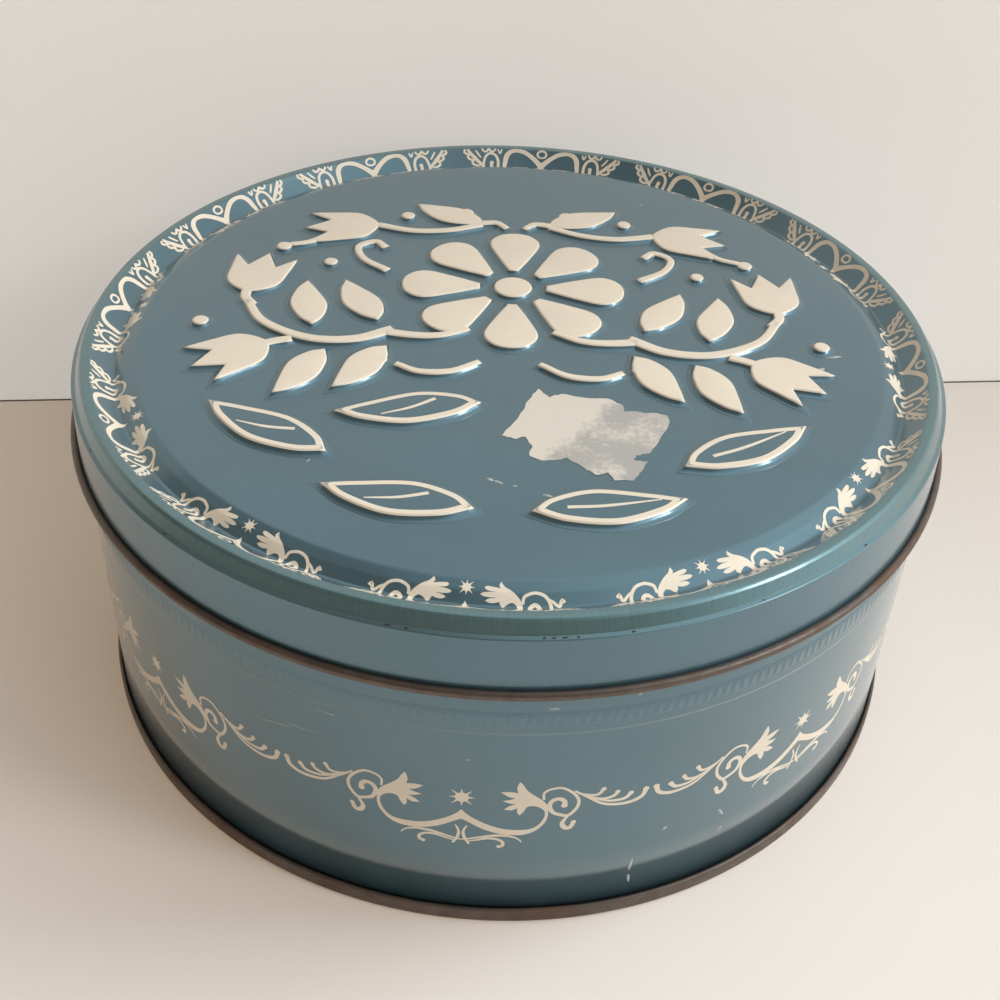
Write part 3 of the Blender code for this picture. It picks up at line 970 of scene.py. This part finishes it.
def make_chip(name, colour, metallic):
    """A small mark where the lacquer has gone."""
    material, tree, shader = start_material(name)
    mottle = add_mottle(tree, 700.0, 3000.0, 0.5)
    shades = shade(tree, mottle, colour, 0.7, 1.15)
    set_inputs(shader, Base_Color=shades, Metallic=metallic, Roughness=0.5)
    add_bump(tree, shader, mottle, 0.4, 0.00005)
    return material


def make_stage_material(name, colour, paleness):
    """A matt pale surface with a faint grain, seen a little paler than its lamps make it."""
    material, tree, shader = start_material(name)
    rays = tree.nodes.new("ShaderNodeLightPath").outputs
    seen = combine(tree, "MAXIMUM", rays["Is Camera Ray"], rays["Is Glossy Ray"])
    set_inputs(
        shader,
        Base_Color=shade(tree, add_mottle(tree, 3.0, 600.0, 0.2), colour, 0.98, 1.01),
        Roughness=0.8,
        Specular_IOR_Level=0.25,
        Emission_Color=[part * share for part, share in zip(colour, paleness)],
        Emission_Strength=combine(tree, "MAXIMUM", seen, rays["Is Transmission Ray"]),
    )
    return material


def named_material(name, maker, *details):
    """The material of that name, made on its first use."""
    for group, make_group in (("mottle", make_mottle_group), ("turned_place", make_turned_group)):
        if group not in bpy.data.node_groups:
            make_group()
    return bpy.data.materials.get(name) or maker(*details)


def lacquer_set(finish):
    """Lacquer outside, tinplate inside, and bare steel on both sides of a raw edge."""
    outside = named_material("blue_lacquer", make_lacquer, finish)
    inside = named_material("plain_tinplate", make_inside, finish)
    steel = named_material("browned_steel", make_steel, finish)
    return [outside, inside, steel, steel]


def add_outline(shape, points):
    """A flat face from its outline, split into triangles so that it can be cut and bent."""
    face = shape.faces.new([shape.verts.new((point[0], point[1], 0)) for point in points])
    face.normal_update()
    if face.normal.z < 0:
        face.normal_flip()
    bmesh.ops.triangulate(shape, faces=[face])


def add_stroke(shape, path, widths):
    """A flat ribbon of changing width, its cross edge extruded from point to point."""
    def ends(index):
        here = path[index]
        ahead = path[min(index + 1, len(path) - 1)] - path[max(index - 1, 0)]
        share = index / (len(path) - 1)
        if share < 0.5:
            width = widths[0] + (widths[1] - widths[0]) * share * 2
        else:
            width = widths[1] + (widths[2] - widths[1]) * (share * 2 - 1)
        side = Vector((-ahead.y, ahead.x)).normalized() * width / 2
        return here + side, here - side

    sides = [shape.verts.new((*point, 0)) for point in ends(0)]
    edge = shape.edges.new(sides)
    for index in range(1, len(path)):
        made = bmesh.ops.extrude_edge_only(shape, edges=[edge])["geom"]
        fresh = only(made, bmesh.types.BMVert)
        fresh.sort(key=lambda vert: (vert.co - sides[0].co).length)
        edge = next(part for part in fresh[0].link_edges if fresh[1] in part.verts)
        for vert, point in zip(fresh, ends(index)):
            vert.co = (*point, 0)
        sides = fresh


def add_dot(shape, centre, radius):
    """A round blob at the end of a stroke."""
    place = Matrix.Translation((centre[0], centre[1], 0))
    bmesh.ops.create_circle(shape, cap_ends=True, segments=14, radius=radius, matrix=place)


def add_star(shape, back, share):
    """The eight-rayed star in the middle of the border's motif."""
    notch = STAR_BODY * 1.12
    points = []
    for index, ray in enumerate(STAR_RAYS):
        for offset, distance in ((0, ray), (9, notch), (22.5, STAR_BODY), (36, notch)):
            angle = math.radians(45 * index + offset)
            reach = distance * share
            points.append((math.cos(angle) * reach, back + math.sin(angle) * reach))
    add_outline(shape, points)


def draw_motif(runs, strokes, spacing, star_back, star_share):
    """One repeat of a border, flat, in millimetres: swags, tulips, scrolls and the star between."""
    shape = bmesh.new()
    outline = []
    for run in runs:
        outline += smooth_path(run, spacing)[:-1]
    outline.append(Vector(runs[-1][-1]))
    add_outline(shape, outline)
    for points, widths in strokes:
        path = smooth_path(points, spacing)
        add_stroke(shape, path, widths)
        if widths[2] > DOTTED_FROM_WIDTH:
            add_dot(shape, path[-1], widths[2] * DOT_SHARE)
    bmesh.ops.mirror(shape, geom=all_parts(shape), axis="X", merge_dist=1e-4)
    bmesh.ops.recalc_face_normals(shape, faces=shape.faces)
    add_star(shape, star_back, star_share)
    face_up(shape)
    return shape


def cut_across(shape, axis, places):
    """Cuts a flat shape along lines so that it can follow a curve."""
    normal = Vector((0, 0, 0))
    normal[axis] = 1
    for place in places:
        cut = {"plane_co": normal * place, "plane_no": normal}
        bmesh.ops.bisect_plane(shape, geom=all_parts(shape), dist=1e-5, **cut)


def thicken_film(shape, thickness):
    """Turns a flat drawing in millimetres into a closed film in metres."""
    bmesh.ops.scale(shape, vec=(MM, MM, MM), verts=shape.verts)
    bmesh.ops.remove_doubles(shape, verts=shape.verts, dist=1e-8)
    bmesh.ops.solidify(shape, geom=shape.faces[:], thickness=thickness)
    lowest = min(vert.co.z for vert in shape.verts)
    bmesh.ops.translate(shape, vec=(0, 0, -lowest - thickness), verts=shape.verts)
    bmesh.ops.recalc_face_normals(shape, faces=shape.faces)


def lay_on_sheet(shape, line, start, turn, radius, lift):
    """Bends a flat film round the tin: across becomes turn, up runs back along the sheet's line."""
    for vert in shape.verts:
        point, normal = line.at(start - vert.co.y)
        point = point + normal * (vert.co.z + lift)
        angle = turn + vert.co.x / radius
        vert.co = (point.x * math.cos(angle), point.x * math.sin(angle), point.y)


def repeat_round(shape, repeats):
    """Copies a shape evenly round the axis."""
    first = all_parts(shape)
    for index in range(1, repeats):
        made = bmesh.ops.duplicate(shape, geom=first)["geom"]
        turn = Matrix.Rotation(math.tau * index / repeats, 3, "Z")
        verts = only(made, bmesh.types.BMVert)
        bmesh.ops.rotate(shape, cent=(0, 0, 0), matrix=turn, verts=verts)


def merge_into(whole, part):
    """Adds one shape to another and frees it."""
    carrier = bpy.data.meshes.new("carrier")
    part.to_mesh(carrier)
    part.free()
    whole.from_mesh(carrier)
    bpy.data.meshes.remove(carrier)


def chip_outline(length, width, tilt, seed):
    """A ragged small mark."""
    turn = Matrix.Rotation(math.radians(tilt), 2)
    points = []
    for point in disc_outline(1, CHIP_CORNERS):
        ragged = 1 + CHIP_RAGGED * noise.noise((seed * 3.7, point.x * 1.4, point.y * 1.4))
        flat = Vector((point.x * length / 2, point.y * width / 2)) * ragged
        points.append(turn @ flat)
    return points


class TIN_OT_wall(bpy.types.Operator):
    """Turns the body wall with its folded mouth and bead, and lines it with plain tinplate"""

    bl_idname = "tin.wall"
    bl_label = "Body Wall"

    def execute(self, context):
        sizes = context.scene.tin_sizes
        finish = context.scene.tin_finish
        shape = turn_line(wall_line(sizes), sizes.turn_steps)
        piece = finish_piece("wall_shell", shape, lacquer_set(finish), *ON_WALL, ("body_wall",))
        give_gauge(piece, sizes.sheet)
        return {"FINISHED"}


class TIN_OT_knurl(bpy.types.Operator):
    """Rolls the fine notches into the bead that the lid's hem stops above"""

    bl_idname = "tin.knurl"
    bl_label = "Knurled Strip"

    def execute(self, context):
        sizes = context.scene.tin_sizes
        finish = context.scene.tin_finish
        back, foot, crest = (sizes.wall_radius + proud for proud in KNURL_PROUD)
        low = sizes.knurl_bottom
        high = sizes.knurl_top
        corners = [
            (back, low, 0),
            (foot, low, 0.0002),
            (crest, low + KNURL_EDGE, 0.0004),
            (crest, high - KNURL_EDGE, 0.0004),
            (foot, high, 0.0002),
            (back, high, 0),
        ]
        line = rounded_line(corners, 3)
        line.append(line[0].copy())
        shape = turn_line(line, sizes.knurl_count * KNURL_STEPS)
        bmesh.ops.recalc_face_normals(shape, faces=shape.faces)
        for vert in shape.verts:
            radius = math.hypot(vert.co.x, vert.co.y)
            share = min(1, max(0, (radius - foot) / (crest - foot)))
            angle = math.atan2(vert.co.y, vert.co.x)
            notch = max(0, math.cos(angle * sizes.knurl_count)) ** 2
            closer = 1 - sizes.knurl_depth * share * notch / radius
            vert.co.x *= closer
            vert.co.y *= closer
        finish_piece("knurled_strip", shape, lacquer_set(finish)[:1], *ON_WALL)
        return {"FINISHED"}


def wall_face(sizes):
    """The outside of the wall, straight down from a height that all its print is placed from."""
    return SheetLine([Vector((sizes.wall_radius, WALL_FACE_TOP)), Vector((sizes.wall_radius, 0))], 0)


class TIN_OT_wall_print(bpy.types.Operator):
    """Prints the border of swags, tulips and stars round the wall"""

    bl_idname = "tin.wall_print"
    bl_label = "Wall Border"

    def execute(self, context):
        sizes = context.scene.tin_sizes
        layout = context.scene.tin_print
        finish = context.scene.tin_finish
        shape = draw_motif(SWAG_AND_TULIP, BORDER_STROKES, BORDER_STEP, 0, 1)
        cut_across(shape, 0, [BORDER_CUT * step for step in range(-15, 16)])
        thicken_film(shape, layout.ink * 2)
        start = WALL_FACE_TOP - layout.wall_star
        lay_on_sheet(shape, wall_face(sizes), start, layout.wall_turn, sizes.wall_radius, layout.ink)
        repeat_round(shape, layout.wall_repeats)
        cream = named_material("cream_print", make_print, finish)
        finish_piece("wall_border_print", shape, [cream], *ON_WALL, film=True)
        return {"FINISHED"}


def chip_film(length, width, tilt, seed, cuts=()):
    """A small ragged mark as a closed film."""
    chip = bmesh.new()
    add_outline(chip, chip_outline(length, width, tilt, seed))
    cut_across(chip, 0, cuts)
    thicken_film(chip, CHIP_FILM)
    return chip


def pale_chip():
    """Where the lacquer is off and bare tinplate shows."""
    return named_material("pale_chip", make_chip, "pale_chip", PALE_CHIP_COLOUR, 0.3)


class TIN_OT_wall_wear(bpy.types.Operator):
    """Adds the small bare chips and hair scratches on the wall"""

    bl_idname = "tin.wall_wear"
    bl_label = "Wall Wear"

    def execute(self, context):
        sizes = context.scene.tin_sizes
        shape = bmesh.new()
        line = wall_face(sizes)
        for index, (turn, height, length, width, tilt) in enumerate(WALL_CHIPS):
            chip = chip_film(length, width, tilt, index, [CHIP_CUT * step for step in range(-4, 5)])
            on_strip = sizes.knurl_bottom < height * MM < sizes.knurl_top
            lift = CHIP_LIFT_ON_STRIP if on_strip else CHIP_LIFT
            start = WALL_FACE_TOP - height * MM
            lay_on_sheet(chip, line, start, math.radians(turn), sizes.wall_radius, lift)
            merge_into(shape, chip)
        finish_piece("wall_chips", shape, [pale_chip()], *ON_WALL)
        return {"FINISHED"}


class TIN_OT_base(bpy.types.Operator):
    """Turns the recessed base and the browned double seam that joins it to the wall"""

    bl_idname = "tin.base"
    bl_label = "Base and Seam"

    def execute(self, context):
        sizes = context.scene.tin_sizes
        finish = context.scene.tin_finish
        steel = named_material("browned_steel", make_steel, finish)
        inside = named_material("plain_tinplate", make_inside, finish)
        shape = turn_line(base_line(sizes), sizes.turn_steps)
        piece = finish_piece("base_shell", shape, [steel, inside], "tin", "bare_steel", ("base_end",))
        give_gauge(piece, sizes.sheet)
        return {"FINISHED"}


class TIN_OT_lid(bpy.types.Operator):
    """Turns the lid: domed field, gutter, rolled rim, ledge, skirt and curled hem"""

    bl_idname = "tin.lid"
    bl_label = "Lid"

    def execute(self, context):
        sizes = context.scene.tin_sizes
        finish = context.scene.tin_finish
        shape = turn_line(lid_line(sizes), sizes.turn_steps)
        for face in shape.faces:
            place = face.calc_center_median()
            outside = math.hypot(place.x, place.y) > HEM_FROM_RADIUS
            if outside and place.z < sizes.hem_bottom + sizes.hem_height:
                face.material_index = 2
        piece = finish_piece("lid_shell", shape, lacquer_set(finish), *ON_LID, ("lid",))
        give_gauge(piece, sizes.sheet)
        return {"FINISHED"}


class TIN_OT_lid_print(bpy.types.Operator):
    """Prints the smaller border round the lid, over its slope, gutter and bank"""

    bl_idname = "tin.lid_print"
    bl_label = "Lid Border"

    def execute(self, context):
        sizes = context.scene.tin_sizes
        layout = context.scene.tin_print
        finish = context.scene.tin_finish
        line = SheetLine(lid_line(sizes), sizes.sheet / 2)
        start = line.distance_at_radius(layout.lid_shoulder)
        star = (LID_STAR_BACK, LID_STAR_SHARE)
        shape = draw_motif(LID_SWAG_AND_TULIP, LID_STROKES, LID_BORDER_STEP, *star)
        cut_across(shape, 0, [BORDER_CUT * step for step in range(-9, 10)])
        marks = [(start - mark) / MM for mark in line.marks]
        cut_across(shape, 1, [mark for mark in marks if LID_BORDER_LOW < mark < LID_BORDER_HIGH])
        thicken_film(shape, layout.ink * 2)
        lay_on_sheet(shape, line, start, layout.lid_turn, LID_BORDER_RADIUS, layout.ink)
        repeat_round(shape, layout.lid_repeats)
        cream = named_material("cream_print", make_print, finish)
        finish_piece("lid_border_print", shape, [cream], *ON_LID, film=True)
        return {"FINISHED"}


class TIN_OT_lid_wear(bpy.types.Operator):
    """Adds the chips on the field and the rust specks along the ledge"""

    bl_idname = "tin.lid_wear"
    bl_label = "Lid Wear"

    def execute(self, context):
        sizes = context.scene.tin_sizes
        line = SheetLine(lid_line(sizes), sizes.sheet / 2)
        chips = bmesh.new()
        for index, (across, back, length, width, tilt) in enumerate(LID_CHIPS):
            chip = chip_film(length, width, tilt, index + 40)
            for vert in chip.verts:
                x = vert.co.x + across * MM
                y = vert.co.y + back * MM
                vert.co = (x, y, field_height(line, x, y) + vert.co.z + CHIP_LIFT)
            merge_into(chips, chip)
        finish_piece("lid_chips", chips, [pale_chip()], *ON_LID)

        specks = bmesh.new()
        start = line.distance_at_radius(LEDGE_RADIUS)
        for index, (turn, length) in enumerate(LEDGE_SPECKS):
            speck = chip_film(length, SPECK_WIDTH, 3, index + 80)
            lay_on_sheet(speck, line, start, math.radians(turn), LEDGE_RADIUS, CHIP_LIFT)
            merge_into(specks, speck)
        dark = named_material("dark_speck", make_chip, "dark_speck", SPECK_COLOUR, 0.2)
        finish_piece("ledge_specks", specks, [dark], *ON_LID)
        return {"FINISHED"}


def field_height(line, x, y):
    """Height of the outside of the lid's field at a place."""
    distance = line.distance_at_radius(max(1e-5, math.hypot(x, y)))
    return line.at(distance)[0].y


def form_outline(shares, size):
    """A form's outline along +X, in millimetres and counterclockwise, from its shares."""
    length, width = size
    points = [Vector((along * length, across * width / 2)) for along, across in shares]
    if any(across < 0 for along, across in shares):
        return points
    lower = [Vector((point.x, -point.y)) for point in points]
    return lower + [point for point in reversed(points) if point.y > 0]


def disc_outline(radius, count):
    """A round form's corners."""
    turns = [math.tau * step / count for step in range(count)]
    return [Vector((math.cos(turn), math.sin(turn))) * radius for turn in turns]


def placed(outline, x, y, degrees):
    """An outline turned about its root and moved on the lid, in millimetres."""
    turn = Matrix.Rotation(math.radians(degrees), 2)
    return [turn @ point + Vector((x, y)) for point in outline]


def mirrored(points):
    """The same points left of the lid's middle line."""
    return [Vector((-point.x, point.y)) for point in points]


def outward_sides(shape):
    """For each vertex on an open edge, the way out of the flat shape, longer at a corner."""
    sums = defaultdict(lambda: Vector((0, 0, 0)))
    for edge in shape.edges:
        if len(edge.link_loops) != 1:
            continue
        loop = edge.link_loops[0]
        along = loop.link_loop_next.vert.co - loop.vert.co
        side = Vector((along.y, -along.x, 0)).normalized()
        for vert in edge.verts:
            sums[vert] += side
    return {vert: total.normalized() * 2 / max(total.length, 0.9) for vert, total in sums.items()}


def raise_form(shape, height, top_material):
    """Gives a flat form its pressed shoulders: a flat top, a rounded cream edge and a blue foot."""
    for face in shape.faces:
        face.material_index = top_material
    bmesh.ops.translate(shape, vec=(0, 0, height), verts=shape.verts)
    sides = outward_sides(shape)
    rims = [edge for edge in shape.edges if len(edge.link_faces) == 1]
    reached = (0, 0)
    for ring, (out, drop) in enumerate(SHOULDER):
        made = bmesh.ops.extrude_edge_only(shape, edges=rims)["geom"]
        fresh = set(only(made, bmesh.types.BMVert))
        rims = [edge for edge in only(made, bmesh.types.BMEdge) if fresh.issuperset(edge.verts)]
        for face in only(made, bmesh.types.BMFace):
            face.material_index = 1 if ring < CREAM_RINGS else 0
        here = {}
        for vert in fresh:
            near = [edge.other_vert(vert) for edge in vert.link_edges]
            side = next(sides[other] for other in near if other in sides)
            vert.co += side * (out - reached[0]) + Vector((0, 0, reached[1] - drop))
            here[vert] = side
        sides = here
        reached = (out, drop)
    bmesh.ops.holes_fill(shape, edges=rims, sides=0)


def lay_on_field(shape, sizes):
    """Lifts a flat shape in metres onto the lid's domed field."""
    line = SheetLine(lid_line(sizes), sizes.sheet / 2)
    for vert in shape.verts:
        vert.co.z += field_height(line, vert.co.x, vert.co.y)


def form_feet(reach):
    """The foot of each pressed form in millimetres: those filled with cream and the outlined ones."""
    def spread(outline, places):
        return [placed(outline, x * reach, y * reach, degrees) for x, y, degrees in places]

    petal = form_outline(PETAL_SHARES, PETAL_SIZE)
    filled = []
    for index in range(PETALS):
        angle = math.tau * index / PETALS
        x = PETAL_ROOT * math.cos(angle)
        y = FLOWER_BACK + PETAL_ROOT * math.sin(angle)
        filled.append(placed(petal, x, y, math.degrees(angle)))
    filled.append(placed(disc_outline(BUTTON, ROUND_CORNERS), 0, FLOWER_BACK, 0))
    right = spread(form_outline(LEAF_SHARES, LEAF_SIZE), LEAF_PLACE_SHARES)
    right += spread(form_outline(TULIP_SHARES, TULIP_SIZE), TULIP_PLACE_SHARES)
    for x, y, radius in BERRIES:
        right.append(placed(disc_outline(radius + 1, ROUND_CORNERS), x, y, 0))
    large_leaf = form_outline(LEAF_SHARES, LARGE_LEAF_SIZE)
    large = spread(large_leaf, LARGE_LEAF_PLACE_SHARES)
    lone = spread(large_leaf, LONE_LEAF_PLACE_SHARES)
    filled += right + [mirrored(reversed(foot)) for foot in right]
    return filled, large + [mirrored(reversed(foot)) for foot in large + lone]


def raised_strokes(reach):
    """Each stem and spray of the design, on both sides."""
    stem = [Vector(share) * reach for share in STEM_PATH_SHARES]
    drawn = [(smooth_path(stem, 1), [width - 2 for width in STEM_WIDTHS])]
    drawn += [(smooth_path(points, 1), widths) for points, widths in SPRAYS]
    return drawn + [(mirrored(path), widths) for path, widths in drawn]


def form_top(foot, inset):
    """The smooth outline of a form's top, from its foot."""
    return smooth_loop(inset_loop(foot, inset), FORM_STEP, SHARP_TURN)


def draw_leaf_lines(lines, foot, inset):
    """The cream outline and the vein on a leaf whose top stays blue."""
    outer = form_top(foot, inset + LEAF_LINE_INSET)
    add_stroke(lines, outer[6:] + outer[:7], LEAF_LINE_WIDTHS)
    start, end = (foot[0].lerp(foot[4], share) for share in VEIN_SHARES)
    vein = [start, (foot[2] + foot[6]) / 2, end]
    add_stroke(lines, smooth_path(vein, FORM_STEP), VEIN_WIDTHS)


class TIN_OT_relief(bpy.types.Operator):
    """Raises the flower, leaves, tulips and sprays in the middle of the lid"""

    bl_idname = "tin.relief"
    bl_label = "Raised Work"

    def execute(self, context):
        sizes = context.scene.tin_sizes
        layout = context.scene.tin_print
        finish = context.scene.tin_finish
        height = layout.relief / MM
        reach = layout.relief_reach / MM
        inset = layout.relief_inset / MM
        filled, outlined = form_feet(reach)
        whole = bmesh.new()
        for group, top_material in ((filled, 1), (outlined, 0)):
            for foot in group:
                form = bmesh.new()
                add_outline(form, form_top(foot, inset))
                raise_form(form, height, top_material)
                merge_into(whole, form)
        for path, widths in raised_strokes(reach):
            form = bmesh.new()
            add_stroke(form, path, widths)
            face_up(form)
            raise_form(form, height * STROKE_HEIGHT_SHARE, 1)
            merge_into(whole, form)
        bmesh.ops.recalc_face_normals(whole, faces=whole.faces)
        bmesh.ops.scale(whole, vec=(MM, MM, MM), verts=whole.verts)
        lay_on_field(whole, sizes)
        lacquer = lacquer_set(finish)[0]
        cream = named_material("cream_print", make_print, finish)
        finish_piece("raised_work", whole, [lacquer, cream], *ON_LID)

        lines = bmesh.new()
        for foot in outlined:
            draw_leaf_lines(lines, foot, inset)
        face_up(lines)
        thicken_film(lines, layout.ink * 2)
        bmesh.ops.translate(lines, vec=(0, 0, layout.relief + layout.ink), verts=lines.verts)
        lay_on_field(lines, sizes)
        finish_piece("leaf_outlines", lines, [cream], *ON_LID, film=True)
        return {"FINISHED"}


class TIN_OT_label(bpy.types.Operator):
    """Sticks a torn, bare paper label on the lid's field"""

    bl_idname = "tin.label"
    bl_label = "Paper Label"

    def execute(self, context):
        sizes = context.scene.tin_sizes
        finish = context.scene.tin_finish
        corners = [Vector(corner) for corner in LABEL_CORNERS]
        outline = []
        for index, (start, end) in enumerate(zip(corners, corners[1:] + corners[:1])):
            side = Vector((end.y - start.y, start.x - end.x)).normalized()
            steps = max(2, round((end - start).length / TEAR_STEP))
            for step in range(steps):
                share = step / steps
                ragged = noise.noise((index * 5.1, share * 3, 0.3))
                outline.append(start.lerp(end, share) + side * ragged * TEAR_DEPTH)
        shape = bmesh.new()
        add_outline(shape, outline)
        cut_across(shape, 0, [LABEL_CUT * step for step in range(-2, 20)])
        cut_across(shape, 1, [LABEL_CUT * step for step in range(-30, -11)])
        thicken_film(shape, LABEL_FILM)
        for vert in shape.verts:
            place = (vert.co.x * PUCKERS_PER_METRE, vert.co.y * PUCKERS_PER_METRE, 4.0)
            puckered = LABEL_PUCKER * max(0, noise.noise(place))
            vert.co.z = max(0, vert.co.z + LABEL_TOP) + puckered - LABEL_SINK
        lay_on_field(shape, sizes)
        paper = named_material("label_paper", make_paper, finish)
        finish_piece("price_label", shape, [paper], *ON_LID, film=True)
        return {"FINISHED"}


def look_towards(tree, place, direction):
    """How far a view of the room points along a direction."""
    node = add_node(tree, "ShaderNodeVectorMath", operation="DOT_PRODUCT")
    fill_input(node.inputs[0], place)
    fill_input(node.inputs[1], direction)
    return node.outputs["Value"]


class TIN_OT_stage(bpy.types.Operator):
    """Sets the pale table and wall, the soft lights and the camera"""

    bl_idname = "tin.stage"
    bl_label = "Stage"

    def execute(self, context):
        scene = context.scene
        self.add_ground(scene.tin_finish)
        self.add_room(scene)
        self.add_window(scene)
        self.add_camera(scene)
        scene.view_settings.view_transform = "Standard"
        return {"FINISHED"}

    def add_ground(self, finish):
        foot = Matrix.Rotation(math.radians(BACK_WALL_TURN), 4, "Z")
        foot @= Matrix.Translation((0, BACK_WALL_BACK, 0))
        foot @= Matrix.Rotation(math.radians(BACK_WALL_LEAN), 4, "X")

        def upright(forward, lift, half_height):
            place = foot @ Matrix.Translation((0, -forward, lift))
            place @= Matrix.Rotation(math.pi / 2, 4, "X")
            return place @ Matrix.Diagonal((1, half_height / STAGE_HALF_WIDTH, 1, 1))

        table = Matrix.Translation((0, 0, -TABLE_DROP))
        back_wall = upright(0, BACK_WALL_HALF_HEIGHT, BACK_WALL_HALF_HEIGHT)
        # The dark strip at the wall's foot is painted shade along the crease between table and wall.
        joint = upright(CREASE_SHADE_PROUD, 0, CREASE_SHADE_HALF_HEIGHT)
        for name, colour, pale_shares, place in (
            ("table", finish.floor, TABLE_PALE_SHARES, table),
            ("back_wall", finish.backdrop, BACK_WALL_PALE_SHARES, back_wall),
            ("joint", CREASE_SHADE_COLOUR, (0, 0, 0), joint),
        ):
            shape = bmesh.new()
            grid = {"x_segments": 4, "y_segments": 4, "size": STAGE_HALF_WIDTH}
            bmesh.ops.create_grid(shape, matrix=place, **grid)
            material = named_material(name, make_stage_material, name, colour, pale_shares)
            add_object(name, shape, [material])

    def add_room(self, scene):
        world = bpy.data.worlds.new("room")
        scene.world = world
        world.use_nodes = True
        tree = world.node_tree
        place = tree.nodes.new("ShaderNodeTexCoord").outputs["Generated"]
        ramp = tree.nodes.new("ShaderNodeValToRGB")
        stops = ramp.color_ramp.elements
        stops[0].color = (*ROOM_STOPS[0][1], 1)
        stops[1].color = (*ROOM_STOPS[-1][1], 1)
        for position, colour in ROOM_STOPS[1:-1]:
            stops.new(position).color = (*colour, 1)
        side = look_towards(tree, place, ROOM_TOWARDS)
        fill_input(ramp.inputs[0], map_value(tree, side, -1, 1, 0, 1))
        pane = look_towards(tree, place, PANE_TOWARDS)
        bright = map_value(tree, pane, *PANE_EDGES, 1, PANE_BRIGHTNESS)
        set_inputs(tree.nodes["Background"], Color=ramp.outputs[0], Strength=bright)

    def add_window(self, scene):
        lamp = bpy.data.lights.new("window", "AREA")
        lamp.shape = "RECTANGLE"
        lamp.size, lamp.size_y = WINDOW_SIZE
        lamp.energy = WINDOW_ENERGY
        lamp.color = WINDOW_COLOUR
        window = bpy.data.objects.new("window", lamp)
        window.location = WINDOW_PLACE
        window.visible_glossy = False
        window.rotation_mode = "QUATERNION"
        aim = Vector(WINDOW_AIM) - window.location
        window.rotation_quaternion = aim.to_track_quat("-Z", "Y")
        scene.collection.objects.link(window)

    def add_camera(self, scene):
        camera = bpy.data.cameras.new("camera")
        camera.lens = CAMERA_LENS
        camera.sensor_width = 36
        camera.clip_start = 0.01
        eye = bpy.data.objects.new("camera", camera)
        turn = Matrix.Translation(CAMERA_PLACE)
        for axis, degrees in CAMERA_TURNS:
            turn @= Matrix.Rotation(math.radians(degrees), 4, axis)
        eye.matrix_world = turn
        scene.collection.objects.link(eye)
        scene.camera = eye


class TIN_PT_sidebar(bpy.types.Panel):
    """Lists the tin's settings and the steps that build it"""

    bl_label = "Tin Box"
    bl_idname = "TIN_PT_sidebar"
    bl_space_type = "VIEW_3D"
    bl_region_type = "UI"
    bl_category = "Tin Box"

    def draw(self, context):
        layout = self.layout
        for group in (context.scene.tin_sizes, context.scene.tin_print, context.scene.tin_finish):
            box = layout.box()
            for name in group.__annotations__:
                box.prop(group, name)
        for operator in OPERATORS:
            layout.operator(operator.bl_idname)


OPERATORS = (
    TIN_OT_stage,
    TIN_OT_wall,
    TIN_OT_knurl,
    TIN_OT_wall_print,
    TIN_OT_wall_wear,
    TIN_OT_base,
    TIN_OT_lid,
    TIN_OT_lid_print,
    TIN_OT_relief,
    TIN_OT_lid_wear,
    TIN_OT_label,
)
CLASSES = (TinSizes, TinPrint, TinFinish, *OPERATORS, TIN_PT_sidebar)


def register():
    for cls in CLASSES:
        bpy.utils.register_class(cls)
    bpy.types.Scene.tin_sizes = PointerProperty(type=TinSizes)
    bpy.types.Scene.tin_print = PointerProperty(type=TinPrint)
    bpy.types.Scene.tin_finish = PointerProperty(type=TinFinish)


def unregister():
    del bpy.types.Scene.tin_finish
    del bpy.types.Scene.tin_print
    del bpy.types.Scene.tin_sizes
    for cls in reversed(CLASSES):
        bpy.utils.unregister_class(cls)


def main():
    register()
    bpy.ops.tin.stage()
    bpy.ops.tin.wall()
    bpy.ops.tin.knurl()
    bpy.ops.tin.wall_print()
    bpy.ops.tin.wall_wear()
    bpy.ops.tin.base()
    bpy.ops.tin.lid()
    bpy.ops.tin.lid_print()
    bpy.ops.tin.relief()
    bpy.ops.tin.lid_wear()
    bpy.ops.tin.label()


if __name__ == "__main__":
    main()
